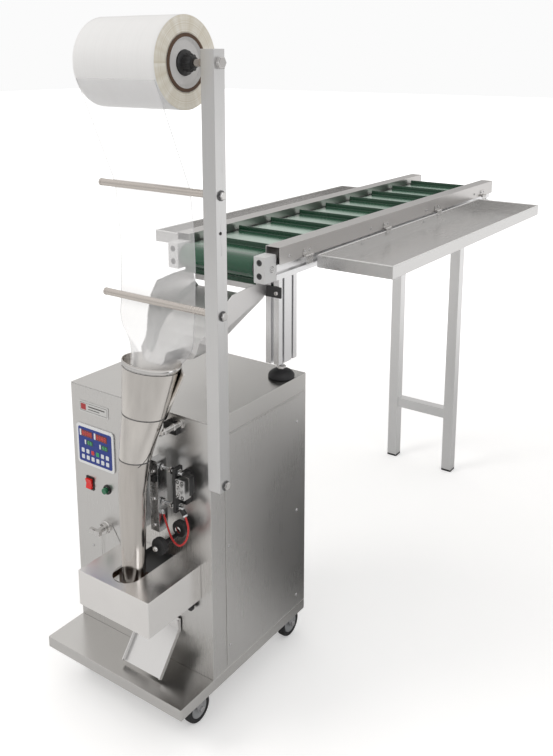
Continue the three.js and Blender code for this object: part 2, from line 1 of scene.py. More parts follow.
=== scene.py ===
import json
import math
import bpy
import numpy as np
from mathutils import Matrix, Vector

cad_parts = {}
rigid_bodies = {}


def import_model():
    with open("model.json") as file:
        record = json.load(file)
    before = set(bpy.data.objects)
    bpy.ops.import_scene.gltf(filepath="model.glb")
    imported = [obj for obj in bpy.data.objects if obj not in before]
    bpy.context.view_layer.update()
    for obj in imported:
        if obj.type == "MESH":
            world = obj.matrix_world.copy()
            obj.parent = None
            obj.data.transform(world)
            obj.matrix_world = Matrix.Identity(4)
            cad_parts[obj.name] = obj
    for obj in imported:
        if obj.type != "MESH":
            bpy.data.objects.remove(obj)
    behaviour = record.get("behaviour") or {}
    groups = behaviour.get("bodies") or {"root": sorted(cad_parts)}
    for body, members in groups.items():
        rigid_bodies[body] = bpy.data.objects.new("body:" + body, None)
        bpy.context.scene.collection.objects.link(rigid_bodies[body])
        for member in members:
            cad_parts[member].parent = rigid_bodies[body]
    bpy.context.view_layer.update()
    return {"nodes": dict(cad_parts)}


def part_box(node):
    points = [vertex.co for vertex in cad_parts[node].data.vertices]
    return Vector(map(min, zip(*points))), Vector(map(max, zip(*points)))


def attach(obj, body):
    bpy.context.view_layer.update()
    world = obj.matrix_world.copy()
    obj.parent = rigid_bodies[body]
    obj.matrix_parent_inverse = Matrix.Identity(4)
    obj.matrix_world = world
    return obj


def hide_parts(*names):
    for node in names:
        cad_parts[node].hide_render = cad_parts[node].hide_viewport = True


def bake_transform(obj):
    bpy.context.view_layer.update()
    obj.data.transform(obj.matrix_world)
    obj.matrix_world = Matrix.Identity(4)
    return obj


for left_over in list(bpy.data.objects):
    bpy.data.objects.remove(left_over)
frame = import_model()

# ---- Room ------------------------------------------------------------------------------------
# A seamless pale floor under a bright studio sky that is darker on the operator's right,
# two broad lamps, and the camera in front of the cabinet's right corner.

bpy.context.scene.view_settings.view_transform = "Standard"


def place(tree, kind, inputs=None, **settings):
    """A new node in the tree: settings are its properties, inputs its sockets' values or links."""
    made = tree.nodes.new("ShaderNode" + kind)
    for key, value in settings.items():
        setattr(made, key, value)
    for key, value in (inputs or {}).items():
        if isinstance(value, bpy.types.NodeSocket):
            tree.links.new(value, made.inputs[key])
        else:
            made.inputs[key].default_value = value
    return made


def studio_sky():
    """Radiance grows from horizon to zenith, and falls towards a dark wall at one side and a
    dimmer one behind."""
    world = bpy.data.worlds.new("studio sky")
    bpy.context.scene.world = world
    world.use_nodes = True
    tree = world.node_tree
    tree.nodes.clear()
    look = place(tree, "TexCoord").outputs["Generated"]
    split = place(tree, "SeparateXYZ", {0: look})
    height = place(tree, "MapRange", {0: split.outputs[2], 1: -0.05, 2: 0.8, 3: 0.62, 4: 0.86})
    towards = place(tree, "VectorMath", {0: look, 1: (0.93, -0.34, 0.05)}, operation="DOT_PRODUCT")
    wall = place(tree, "MapRange", {0: towards.outputs["Value"], 1: 0.7, 2: 0.97, 3: 1.0, 4: 0.2},
                 interpolation_type="SMOOTHSTEP")
    behind = place(tree, "VectorMath", {0: look, 1: (-0.25, 0.94, -0.04)}, operation="DOT_PRODUCT")
    far_wall = place(tree, "MapRange", {0: behind.outputs["Value"], 1: 0.80, 2: 0.97, 3: 1.0,
                                        4: 0.62}, interpolation_type="SMOOTHSTEP")
    both = place(tree, "Math", {0: wall.outputs[0], 1: far_wall.outputs[0]}, operation="MULTIPLY")
    amount = place(tree, "Math", {0: height.outputs[0], 1: both.outputs[0]}, operation="MULTIPLY")
    lit = place(tree, "Background", {0: (1.0, 0.985, 0.97, 1), 1: amount.outputs[0]})
    seen = place(tree, "Background", {0: (0.965, 0.965, 0.965, 1), 1: 1.0})
    ray = place(tree, "LightPath")
    mix = place(tree, "MixShader", {0: ray.outputs["Is Camera Ray"], 1: lit.outputs[0],
                                    2: seen.outputs[0]})
    place(tree, "OutputWorld", {0: mix.outputs[0]})


def lamp(name, location, target, size, power, colour, mirrored):
    """A round lamp aimed at the target; mirrored says whether steel shows it."""
    light = bpy.data.lights.new(name, "AREA")
    light.shape, light.size, light.energy, light.color = "DISK", size, power, colour
    made = bpy.data.objects.new(name, light)
    bpy.context.scene.collection.objects.link(made)
    made.location, made.visible_glossy = location, mirrored
    aim = np.array(target) - np.array(location)
    made.rotation_euler = (math.atan2(math.hypot(aim[0], aim[1]), -aim[2]), 0,
                           math.atan2(aim[1], aim[0]) - math.pi / 2)


studio_sky()
lamp("key", (-2.6, -3.4, 3.8), (0, -0.3, 0.8), 2.2, 62, (1.0, 0.98, 0.95), False)
lamp("fill", (3.2, -1.4, 2.4), (0, 0.2, 0.9), 1.6, 12, (0.95, 0.97, 1.0), True)

floor_mesh = bpy.data.meshes.new("floor")
floor_mesh.from_pydata([(-30, -30, 0), (30, -30, 0), (30, 30, 0), (-30, 30, 0)], [], [(0, 1, 2, 3)])
floor = bpy.data.objects.new("floor", floor_mesh)
bpy.context.scene.collection.objects.link(floor)


def floor_material():
    """Pale paper. For mirrored and bounced light it is grey, with a painted shadow darkest in a slanting
    oval on the machine's right, and it glows from y = 1.5 m on, so that the steel has something to show."""
    made = bpy.data.materials.new("pale floor")
    made.use_nodes = True
    tree = made.node_tree
    shader = tree.nodes["Principled BSDF"]
    at = place(tree, "TexCoord").outputs["Object"]
    grain = place(tree, "TexNoise", {"Vector": at, "Scale": 3.0, "Detail": 3.0})
    paper = place(tree, "MapRange", {0: grain.outputs[0], 3: 0.885, 4: 0.905})
    turned_at = place(tree, "Mapping", {"Vector": at, "Location": (0.62, 0.35, 0.0),
                                        "Rotation": (0, 0, math.radians(57))}, vector_type="TEXTURE")
    oval = place(tree, "VectorMath", {0: turned_at.outputs[0], 1: (1.05, 3.2, 1.0)},
                 operation="MULTIPLY")
    reach = place(tree, "VectorMath", {0: oval.outputs[0]}, operation="LENGTH").outputs["Value"]
    # Painted shadow of the machine on the floor, seen only in reflections and bounced light.
    painted_shadow_grey = place(tree, "MapRange", {0: reach, 1: 0.5, 2: 1.05, 3: 0.13, 4: 0.72},
                  interpolation_type="SMOOTHSTEP")
    ray = place(tree, "LightPath").outputs["Is Camera Ray"]
    tone = place(tree, "Mix", {"Factor": ray, 2: painted_shadow_grey.outputs[0], 3: paper.outputs[0]})
    tree.links.new(tone.outputs[0], shader.inputs["Base Color"])
    depth = place(tree, "SeparateXYZ", {0: at})
    far = place(tree, "MapRange", {0: depth.outputs[1], 1: 1.5, 2: 3.0, 3: 0.0, 4: 0.42})
    shine = place(tree, "Math", {0: ray, 1: 0.30, 2: far.outputs[0]}, operation="MULTIPLY_ADD")
    tree.links.new(shine.outputs[0], shader.inputs["Emission Strength"])
    shader.inputs["Emission Color"].default_value = (1, 1, 1, 1)
    shader.inputs["Roughness"].default_value = 0.95
    shader.inputs["Specular IOR Level"].default_value = 0.1
    return made


floor_mesh.materials.append(floor_material())

camera_data = bpy.data.cameras.new("camera")
camera_data.sensor_width, camera_data.lens = 36.0, 41.0
camera_data.shift_y = -0.18
camera = bpy.data.objects.new("camera", camera_data)
camera.location = (1.3132, -2.1035, 1.5882)
camera.rotation_euler = (math.radians(77.7), 0, math.radians(35.1))
bpy.context.scene.collection.objects.link(camera)
bpy.context.scene.camera = camera

# ---- Cabinet ---------------------------------------------------------------------------------
# Folded stainless sheet with a satin grain: base tray, shell, cover, right-hand door and rear
# cover, held by pan-head screws. The rear cover has pressed louvres for the motor's heat.

CORNER = np.array(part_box("cabinet_shell")[0]) * (1, 1, 0)   # the cabinet's front left corner


def effect(name, inputs, outputs):
    """An empty node group, its input node and its output node."""
    tree = bpy.data.node_groups.new(name, "ShaderNodeTree")
    for label, kind, value in inputs:
        socket = tree.interface.new_socket(name=label, in_out="INPUT", socket_type="NodeSocket" + kind)
        socket.default_value = value
    for label, kind in outputs:
        tree.interface.new_socket(name=label, in_out="OUTPUT", socket_type="NodeSocket" + kind)
    return tree, tree.nodes.new("NodeGroupInput").outputs, tree.nodes.new("NodeGroupOutput")


def worked_surface():
    """Streaks are noise stretched by Grain, clouds are broad noise, and edges are where a rounded
    normal leaves the true one. Streaks and clouds vary colour and roughness; edges take a speckled edge
    colour that is partly wear and partly a painted highlight."""
    tree, given, result = effect("worked surface", [
        ("Colour", "Color", (0.6, 0.6, 0.6, 1)), ("Worn colour", "Color", (0.9, 0.9, 0.9, 1)),
        ("Grain", "Vector", (200, 200, 5)), ("Roughness", "Float", 0.3),
        ("Unevenness", "Float", 0.2), ("Depth", "Float", 0.0001), ("Wear and glint", "Float", 0.3),
    ], [("Colour", "Color"), ("Roughness", "Float"), ("Normal", "Vector"), ("Edge", "Float"),
        ("Cloud", "Float")])
    at = place(tree, "TexCoord").outputs["Object"]
    stretched = place(tree, "VectorMath", {0: at, 1: given["Grain"]}, operation="MULTIPLY")
    streak = place(tree, "TexNoise", {"Vector": stretched.outputs[0], "Scale": 1.0, "Detail": 3.0,
                                      "Roughness": 0.6}).outputs[0]
    cloud = place(tree, "TexNoise", {"Vector": at, "Scale": 6.0, "Detail": 5.0}).outputs[0]
    speck = place(tree, "TexNoise", {"Vector": at, "Scale": 90.0, "Detail": 2.0}).outputs[0]
    summed = place(tree, "Math", {0: streak, 1: cloud}, operation="ADD")
    tone = place(tree, "Math", {0: summed.outputs[0], 1: -1.0}, operation="ADD")
    swing = place(tree, "Math", {0: tone.outputs[0], 1: given["Unevenness"]}, operation="MULTIPLY")
    gain = place(tree, "Math", {0: swing.outputs[0], 1: 1.0}, operation="ADD")
    tinted = place(tree, "VectorMath", {0: given["Colour"], "Scale": gain.outputs[0]},
                   operation="SCALE")
    rounded_normal = place(tree, "Bevel", {"Radius": 0.0016}, samples=4)
    true_normal = place(tree, "NewGeometry").outputs["Normal"]
    match = place(tree, "VectorMath", {0: rounded_normal.outputs[0], 1: true_normal},
                  operation="DOT_PRODUCT")
    edge = place(tree, "MapRange", {0: match.outputs["Value"], 1: 0.99, 2: 0.78, 3: 0.0, 4: 1.0})
    # Speckled edge colour: partly wear, partly a painted highlight along the edges, mostly painted
    # highlight on the pale metals.
    edge_specks = place(tree, "MapRange", {0: speck, 1: 0.3, 2: 0.6, 3: 0.45, 4: 1.0})
    speckled_edge = place(tree, "Math", {0: edge.outputs[0], 1: edge_specks.outputs[0]}, operation="MULTIPLY")
    edge_wear_and_glint = place(tree, "Math", {0: speckled_edge.outputs[0], 1: given["Wear and glint"]}, operation="MULTIPLY")
    colour = place(tree, "Mix", {"Factor": edge_wear_and_glint.outputs[0], 6: tinted.outputs[0],
                                 7: given["Worn colour"]}, data_type="RGBA")
    uneven = place(tree, "Math", {0: swing.outputs[0], 1: 0.55, 2: given["Roughness"]},
                   operation="MULTIPLY_ADD")
    bump = place(tree, "Bump", {"Strength": 1.0, "Distance": given["Depth"], "Height": streak})
    for label, socket in (("Colour", colour.outputs[2]), ("Roughness", uneven.outputs[0]),
                          ("Normal", bump.outputs[0]), ("Edge", edge.outputs[0]),
                          ("Cloud", cloud)):
        tree.links.new(socket, result.inputs[label])
    return tree


WORKED = worked_surface()


def finish(name, colour, roughness, grain=(160, 160, 160), unevenness=0.2, depth=0.00003,
           wear_and_glint=0.3, edge_wear_and_glint=(0.9, 0.9, 0.9), **sockets):
    """A material whose shader takes colour, roughness and normal from the worked surface."""
    made = bpy.data.materials.new(name)
    made.use_nodes = True
    tree = made.node_tree
    shader = tree.nodes["Principled BSDF"]
    skin = place(tree, "Group", {}, node_tree=WORKED)
    for label, value in (("Colour", (*colour, 1)), ("Worn colour", (*edge_wear_and_glint, 1)), ("Grain", grain),
                         ("Roughness", roughness), ("Unevenness", unevenness), ("Depth", depth),
                         ("Wear and glint", wear_and_glint)):
        skin.inputs[label].default_value = value
    tree.links.new(skin.outputs["Colour"], shader.inputs["Base Color"])
    tree.links.new(skin.outputs["Roughness"], shader.inputs["Roughness"])
    tree.links.new(skin.outputs["Normal"], shader.inputs["Normal"])
    for label, value in sockets.items():
        shader.inputs[label.replace("_", " ")].default_value = value
    return made


def dress(names, material, edge=0.5):
    """Gives frame nodes a material. Those with an edge, in millimetres, get smooth shading and
    broken edges, and folded sheets with none keep their flat panels."""
    for name in names:
        piece = frame["nodes"][name]
        mesh = piece.data
        for layer in ("custom_normal", "sharp_edge", "sharp_face"):
            if layer in mesh.attributes:
                mesh.attributes.remove(mesh.attributes[layer])
        mesh.materials.clear()
        mesh.materials.append(material)
        if not edge:
            mesh.shade_flat()
            continue
        mesh.shade_smooth()
        weld = piece.modifiers.new("closed seams", "WELD")
        weld.merge_threshold = 2e-5
        round_edges(piece, edge)


def round_edges(piece, edge):
    """Rounds every edge sharper than 32 degrees off by so many millimetres."""
    bevel = piece.modifiers.new("broken edges", "BEVEL")
    bevel.width, bevel.segments, bevel.harden_normals = edge / 1000, 2, True
    bevel.limit_method, bevel.angle_limit = "ANGLE", math.radians(32)


def woven(name, grids, around=False, along=False):
    """Mesh of one grid of points (rows, columns, 3) or a stack of them: neighbours are joined by
    faces, around joins last column to first, along last row to first, and a row that is all in
    one place becomes a pole. A closed surface is turned to face outwards."""
    grids = np.asarray(grids, float)
    grids = grids[None] if grids.ndim == 3 else grids
    count, rows, columns = grids.shape[:3]
    index = np.arange(rows * columns).reshape(rows, columns)
    pole = np.ptp(grids[0], axis=1).max(axis=1) < 1e-6
    index[pole] = index[pole, :1]
    index = np.concatenate([index, index[:, :1]], 1) if around else index
    index = np.concatenate([index, index[:1]], 0) if along else index
    quads = np.stack([index[:-1, :-1], index[:-1, 1:], index[1:, 1:], index[1:, :-1]], -1)
    quads = quads.reshape(-1, 4) + (np.arange(count) * rows * columns)[:, None, None]
    points = grids.reshape(-1, 3) / 1000 + CORNER
    used, quads = np.unique(quads.reshape(-1, 4), return_inverse=True)
    points, quads = points[used], quads.reshape(-1, 4)
    a, b, c, d = (points[quads[:, k]] - points.mean(0) for k in range(4))
    volume = (np.cross(a, b) * c).sum() + (np.cross(a, c) * d).sum()
    quads = quads[:, ::-1] if volume < 0 else quads
    faces = [list(dict.fromkeys(quad)) for quad in quads.tolist()]
    mesh = bpy.data.meshes.new(name)
    mesh.from_pydata(points.tolist(), [], [face for face in faces if len(face) > 2])
    mesh.shade_smooth()
    made = bpy.data.objects.new(name, mesh)
    bpy.context.scene.collection.objects.link(made)
    return made


def fitted(piece, material, body="machine", edge=0.0, slot=None):
    """Puts the material on the piece, breaks its edges and rides it on the body."""
    piece.data.materials.append(material)
    if edge:
        round_edges(piece, edge)
    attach(piece, body)
    return piece if slot else piece


def turned(profile, axis, centre, segments=40):
    """Surface of revolution: centre + distance * axis + radius * (cos t * side + sin t * up)."""
    profile, axis = np.array(profile, float), np.array(axis, float)
    side = np.cross(axis, (0, 0, 1) if abs(axis[2]) < 0.9 else (1, 0, 0))
    side = side / np.linalg.norm(side)
    up = np.cross(axis, side)
    t = np.linspace(0, 2 * np.pi, segments, endpoint=False)[None, :, None]
    return (np.array(centre, float) + profile[:, 1, None, None] * axis
            + profile[:, 0, None, None] * (np.cos(t) * side + np.sin(t) * up))


def stacked(grid, places):
    """The same grid shifted to each place."""
    return np.asarray(grid)[None] + np.asarray(places, float)[:, None, None, :]


def pan_head(radius, height):
    """Profile of a screw head: a low dome with a round recess for the driver."""
    return [(0, 0.45 * height), (0.3 * radius, 0.45 * height), (0.36 * radius, height),
            (0.78 * radius, 0.84 * height), (0.97 * radius, 0.4 * height), (radius, 0), (0, 0)]


satin_sheet = finish("satin sheet", (0.66, 0.652, 0.64), 0.28, (900, 900, 12), 0.07, 0.000002, 0.8,
                     Metallic=1.0)
deck_sheet = finish("satin sheet lying", (0.68, 0.67, 0.655), 0.25, (900, 14, 900), 0.08, 0.000002, 0.8,
                    Metallic=1.0)
screw_steel = finish("bright screw", (0.60, 0.60, 0.60), 0.22, (900, 900, 900), 0.25, 0.00002, 0.5,
                     Metallic=1.0)

dress(["cabinet_shell", "right_door", "rear_cover"], satin_sheet, 0.4)
dress(["top_cover", "base_plate"], deck_sheet, 0.7)

DOOR_FACE, REAR_FACE = 451.8, 393.8
door_screw_places = [(DOOR_FACE, 350, 664), (DOOR_FACE, 350, 413), (DOOR_FACE, 350, 162),
                     (DOOR_FACE, 63, 453), (DOOR_FACE, 63, 187)]
fitted(woven("door_screws", stacked(turned(pan_head(4.2, 1.8), (1, 0, 0), (0, 0, 0), 20),
                                    door_screw_places), around=True), screw_steel)
rear_screw_places = [(x, REAR_FACE, z) for x in (42, 225, 408) for z in (168, 430, 690)]
fitted(woven("rear_cover_screws", stacked(turned(pan_head(4.2, 1.8), (0, 1, 0), (0, 0, 0), 20),
                                          rear_screw_places), around=True), screw_steel)


def louvres():
    """Each hood is a thin wedge in section, carried across and let down to the sheet at its ends
    by 1 minus the fourth power of the distance from its middle."""
    section = np.array([(9, 0), (5, 3.2), (0, 5), (0, 4.1), (4.5, 2.2), (7.6, 0)])
    across = np.linspace(-1, 1, 17)
    proud = (1 - across ** 4)[:, None]
    hood = np.stack([np.repeat(across[:, None] * 48, 6, 1), 0.02 + section[None, :, 1] * proud,
                     np.repeat(section[None, :, 0], 17, 0)], -1)
    places = [(x, REAR_FACE - 0.1, z) for x in (135, 315) for z in np.arange(560, 671, 15)]
    return woven("rear_louvres", stacked(hood, places), around=True)


fitted(louvres(), satin_sheet)

# ---- Casters ---------------------------------------------------------------------------------
# Four swivel casters: zinc-plated pressed forks with a ball race, black rubber tyres on grey
# hubs, and an axle bolt with a hexagon nut each side.

zinc = finish("zinc plate", (0.56, 0.56, 0.57), 0.34, (60, 60, 60), 0.45, 0.00004, 0.6, Metallic=1.0)
tyre_rubber = finish("tyre rubber", (0.022, 0.022, 0.024), 0.62, (70, 70, 70), 0.5, 0.0002, 0.35,
                     (0.10, 0.10, 0.10))
hub_grey = finish("hub", (0.44, 0.45, 0.46), 0.4, (120, 120, 120), 0.25, 0.00005, 0.4, Metallic=0.6)

TYRE = {"middle": 31.6, "half_height": 6.4, "half_width": 12.0}


def tyre_section():
    """A rounded oblong: radius and distance are signed powers of sine and cosine."""
    t = np.linspace(0, 2 * np.pi, 28, endpoint=False)
    swell = np.sign(np.sin(t)) * np.abs(np.sin(t)) ** 0.55
    width = np.sign(np.cos(t)) * np.abs(np.cos(t)) ** 0.6
    return np.stack([TYRE["middle"] + TYRE["half_height"] * swell, TYRE["half_width"] * width], -1)


HUB = [(0, -13), (5.5, -13), (6.5, -12.4), (6.5, -8), (11, -8), (14, -9), (20, -10.4), (25, -11.2),
       (26, -10.4), (26, 10.4), (25, 11.2), (20, 10.4), (14, 9), (11, 8), (6.5, 8), (6.5, 12.4),
       (5.5, 13), (0, 13)]


def hexagon(radius, height, axis, centre, washer=0.0):
    """Hexagon nut or bolt head: a turned solid of six sides over an optional round washer."""
    head = [(0, 0), (radius, 0), (radius, 0.86 * height), (0.84 * radius, height), (0, height)]
    return turned(head, axis, np.array(centre) + np.array(axis) * washer, 6)


CASTERS = {"front_left": (50, -32), "front_right": (400, -32), "rear_left": (50, 360),
           "rear_right": (400, 360)}
WHEEL = {"trail": 24, "height": 38, "nut": 17.2}
for corner, (x, y) in CASTERS.items():
    wheel_centre = (x, y + WHEEL["trail"], WHEEL["height"])
    tyre = fitted(woven(f"{corner}_tyre", turned(tyre_section(), (1, 0, 0), wheel_centre, 56),
                        around=True, along=True), tyre_rubber, f"{corner}_roller",
                  slot="black_rubber")
    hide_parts(f"{corner}_caster_wheel")
    fitted(woven(f"{corner}_hub", turned(HUB, (1, 0, 0), wheel_centre, 40), around=True),
           hub_grey, f"{corner}_roller", 0.4)
    nuts = np.stack([hexagon(7.5, 5, (side, 0, 0), (x + side * WHEEL["nut"], *wheel_centre[1:]))
                     for side in (1.0, -1.0)])
    fitted(woven(f"{corner}_axle_nuts", nuts, around=True), zinc, f"{corner}_swivel", 0.4)
    race = [(15, 105), (25, 105.5), (27, 108), (27, 111), (22, 112.5), (15, 112.5)]
    fitted(woven(f"{corner}_ball_race", turned(race, (0, 0, 1), (x, y, 0), 36), around=True,
                 along=True), zinc, f"{corner}_swivel", 0.3)
dress([f"{corner}_caster_fork" for corner in CASTERS], zinc, 0.8)

# ---- Controls on the cabinet's front ---------------------------------------------------------
# Membrane keypad with four displays, a lit rocker switch and a push button, each in a moulded
# frame, and a blank name plate with a coloured stripe.


def facing_front(points, origin):
    """Local (across, up, out) points onto the cabinet's front: across is +X, up +Z, out -Y."""
    points = np.asarray(points, float)
    return np.array(origin, float) + points[..., [0, 2, 1]] * (1, -1, 1)


def oblong(width, height, radius, corner=5):
    """Outline of a rectangle with round corners, about its middle."""
    t = np.linspace(0, np.pi / 2, corner)
    turn = (np.arange(4)[:, None] * np.pi / 2 + t).ravel()
    middle = np.repeat([(1, 1), (-1, 1), (-1, -1), (1, -1)], corner, 0) \
        * (width / 2 - radius, height / 2 - radius)
    return middle + radius * np.stack([np.cos(turn), np.sin(turn)], -1)


def plate(outline, low, high):
    """Solid plate on an outline that is open to its middle: pole, lower and upper edge, pole."""
    outline = np.asarray(outline, float)
    middle = np.repeat(outline.mean(0)[None], len(outline), 0)
    return np.stack([np.column_stack([flat, np.full(len(outline), level)]) for flat, level in
                     ((middle, low), (outline, low), (outline, high), (middle, high))])


def surround(outer, inner, low, high):
    """Frame between two outlines: both edges below, both above, joined into a ring."""
    return np.stack([np.column_stack([flat, np.full(len(outer), level)]) for flat, level in
                     ((outer, low), (outer, high), (inner, high), (inner, low))])


KEYPAD = {"middle": (81.5, -0.2, 626), "width": 131, "height": 108}
keypad_white = finish("keypad border", (0.80, 0.81, 0.82), 0.42, (500, 500, 500), 0.05, 0.00002, 0.2)
keypad_blue = finish("keypad field", (0.012, 0.036, 0.25), 0.36, (700, 700, 700), 0.18, 0.00003, 0.2,
                     (0.3, 0.4, 0.8))
key_white = finish("key cap", (0.74, 0.77, 0.82), 0.4, (700, 700, 700), 0.1, 0.00003, 0.3)
key_red = finish("stop key", (0.62, 0.035, 0.04), 0.4, (700, 700, 700), 0.15, 0.00003, 0.3)
key_green = finish("start key", (0.03, 0.36, 0.13), 0.4, (700, 700, 700), 0.15, 0.00003, 0.3)
glass_red = finish("red window", (0.17, 0.008, 0.01), 0.12, (300, 300, 300), 0.3, 0.00001, 0.1,
                   (0.4, 0.05, 0.05), Coat_Weight=0.5)
glass_green = finish("green window", (0.008, 0.075, 0.04), 0.12, (300, 300, 300), 0.3, 0.00001, 0.1,
                     (0.05, 0.4, 0.2), Coat_Weight=0.5)
digit_red = finish("red digits", (0.75, 0.05, 0.03), 0.3, (600, 600, 600), 0.2, 0.00001, 0.0,
                   Emission_Color=(1.0, 0.06, 0.03, 1), Emission_Strength=0.35)
digit_green = finish("green digits", (0.05, 0.6, 0.2), 0.3, (600, 600, 600), 0.2, 0.00001, 0.0,
                     Emission_Color=(0.05, 1.0, 0.3, 1), Emission_Strength=0.25)
black_moulding = finish("black moulding", (0.018, 0.018, 0.019), 0.38, (350, 350, 350), 0.3, 0.00006,
                        0.4, (0.12, 0.12, 0.12))


def on_keypad(grids):
    """Points given from the keypad's middle, onto the cabinet's front."""
    return facing_front(grids, KEYPAD["middle"])


def pads(share_across, share_down, width, height, radius, low, high):
    """A stack of plates at those shares of the keypad's width and height."""
    pad = plate(oblong(width, height, radius), low, high)
    shares = np.stack(np.meshgrid(share_across, share_down), -1).reshape(-1, 2)
    places = np.column_stack([(shares[:, 0] - 0.5) * KEYPAD["width"],
                              (0.5 - shares[:, 1]) * KEYPAD["height"], np.zeros(len(shares))])
    return on_keypad(stacked(pad, places))


border = fitted(woven("keypad_border", on_keypad(plate(oblong(KEYPAD["width"], KEYPAD["height"], 9),
                                                      0.1, 3.4)), around=True),
                keypad_white, edge=0.5, slot="keypad")
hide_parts("control_panel")
fitted(woven("keypad_field", on_keypad(plate(oblong(117, 93, 5), 3.3, 3.9)), around=True),
       keypad_blue, edge=0.2, slot="keypad")

# Shares across and down, then width, height, corner radius, underside and top in millimetres.
RED_ACROSS, RED_DOWN = (0.29, 0.68), 0.215
GREEN_ACROSS, GREEN_DOWN = (0.36, 0.76), 0.43
KEYS_ACROSS = (0.17, 0.302, 0.434, 0.566, 0.698, 0.83)
UPPER_ROW, LOWER_ROW = 0.65, 0.81
KEY = (10.5, 11, 1.8, 3.8, 4.8)
for name, across, down, size, material, edge in (
        ("red_windows", RED_ACROSS, RED_DOWN, (40, 17, 1.2, 3.8, 4.5), glass_red, 0.2),
        ("green_windows", GREEN_ACROSS, GREEN_DOWN, (22, 13, 1.2, 3.8, 4.5), glass_green, 0.2),
        ("upper_keys", KEYS_ACROSS[:2] + KEYS_ACROSS[4:], UPPER_ROW, KEY, key_white, 0.35),
        ("lower_keys", KEYS_ACROSS, LOWER_ROW, KEY, key_white, 0.35),
        ("stop_key", KEYS_ACROSS[2:3], UPPER_ROW, KEY, key_red, 0.35),
        ("start_key", KEYS_ACROSS[3:4], UPPER_ROW, KEY, key_green, 0.35),
        ("window_labels", (0.115, 0.505), RED_DOWN, (6, 17, 0.8, 3.8, 4.2), keypad_white, 0.15),
        ("small_window_labels", (0.24, 0.64), GREEN_DOWN, (4.5, 12, 0.8, 3.8, 4.2), keypad_white,
         0.15)):
    fitted(woven(name, pads(across, (down,), *size), around=True), material, edge=edge)


def digits(share_across, share_down, count, pitch, size):
    """Seven-segment figures: each segment is a six-sided bar, three lying and four standing."""
    bar = np.array([(-0.5, 0), (-0.36, 0.13), (0.36, 0.13), (0.5, 0), (0.36, -0.13), (-0.36, -0.13)])
    lying, standing = bar * size * 0.8, bar[:, ::-1] * size * 0.8
    half = size * 0.5
    steps = [(lying, 0, 2 * half), (lying, 0, 0), (lying, 0, -2 * half), (standing, half, half),
             (standing, -half, half), (standing, half, -half), (standing, -half, -half)]
    made = [plate(outline + (x, y), 4.45, 4.62) for outline, x, y in steps]
    figures = [np.array(made) + (((k - (count - 1) / 2) * pitch), 0, 0) for k in range(count)]
    places = [((a - 0.5) * KEYPAD["width"], (0.5 - share_down) * KEYPAD["height"], 0)
              for a in share_across]
    return on_keypad(np.concatenate([np.concatenate(figures) + place_of for place_of in places]))


fitted(woven("red_digits", digits(RED_ACROSS, RED_DOWN, 4, 8.6, 4.6), around=True), digit_red)
fitted(woven("green_digits", digits(GREEN_ACROSS, GREEN_DOWN, 2, 8.0, 3.6), around=True), digit_green)

rocker_red = finish("lit rocker", (0.62, 0.008, 0.008), 0.22, (80, 80, 80), 0.2, 0.00001, 0.2,
                    (1.0, 0.4, 0.3), Coat_Weight=0.15, Emission_Color=(1.0, 0.03, 0.02, 1),
                    Emission_Strength=0.12)
button_green = finish("push button", (0.012, 0.16, 0.07), 0.3, (80, 80, 80), 0.2, 0.00001, 0.2,
                      (0.2, 0.6, 0.4), Coat_Weight=0.3)
dress(["rocker_switch"], rocker_red, 0.8)
dress(["push_button"], button_green, 0.9)
fitted(woven("rocker_frame", facing_front(surround(oblong(27, 36, 2), oblong(20.8, 27.2, 0.6), 0.1,
                                                   2.2), (54, 0, 521)), around=True, along=True),
       black_moulding, edge=0.5)
button_ring = [(8.6, -2.6), (9.6, -4.2), (12, -3.6), (13, -0.1), (8.6, -0.1)]
fitted(woven("button_ring", turned(button_ring, (0, 1, 0), (115, 0, 521), 36), around=True,
             along=True), black_moulding, edge=0.3)

plate_silver = finish("name plate", (0.70, 0.70, 0.69), 0.3, (12, 400, 400), 0.12, 0.00001, 0.4,
                      Metallic=0.9)
plate_dark = finish("name plate line", (0.035, 0.03, 0.03), 0.4, (300, 300, 300), 0.2, 0.00001, 0.2)
plate_red = finish("name plate stripe", (0.42, 0.03, 0.035), 0.35, (300, 300, 300), 0.15, 0.00001, 0.2)
PLATE_MIDDLE = (79, -0.1, 727)
fitted(woven("name_plate", facing_front(plate(oblong(104, 30, 4), 0.1, 1.0), PLATE_MIDDLE),
             around=True), plate_silver, edge=0.3)
fitted(woven("name_plate_frame", facing_front(surround(oblong(96, 22, 2.5), oblong(94, 20, 2), 0.9,
             1.15), PLATE_MIDDLE), around=True, along=True), plate_dark)
for name, width, height, radius, shift, material in (
        ("name_plate_stripe", 18, 16, 1.5, (-36, 0, 0), plate_red),
        ("name_plate_bar", 58, 3, 1.2, (10, 3, 0), plate_dark),
        ("name_plate_short_bar", 40, 2, 0.8, (1, -4, 0), plate_dark)):
    mark = plate(oblong(width, height, radius), 0.9, 1.2) + shift
    fitted(woven(name, facing_front(mark, PLATE_MIDDLE), around=True), material, edge=0.1)

# ---- Latch -----------------------------------------------------------------------------------
# A chromed cam bar on a round boss locks the seal box; a thin wire stay and a sheet gusset
# beside it steady the box against the cabinet.

chrome = finish("chrome", (0.66, 0.65, 0.64), 0.10, (40, 40, 40), 0.12, 0.00001, 0.2, Metallic=1.0)
dress(["latch_bracket", "latch_handle"], chrome, 1.0)
boss = [(9, -0.1), (17, -0.1), (17, -2), (15, -4.2), (14.2, -4.4), (9, -4.4)]
fitted(woven("latch_boss", turned(boss, (0, 1, 0), (104, 0, 414), 40), around=True, along=True),
       chrome, edge=0.3)


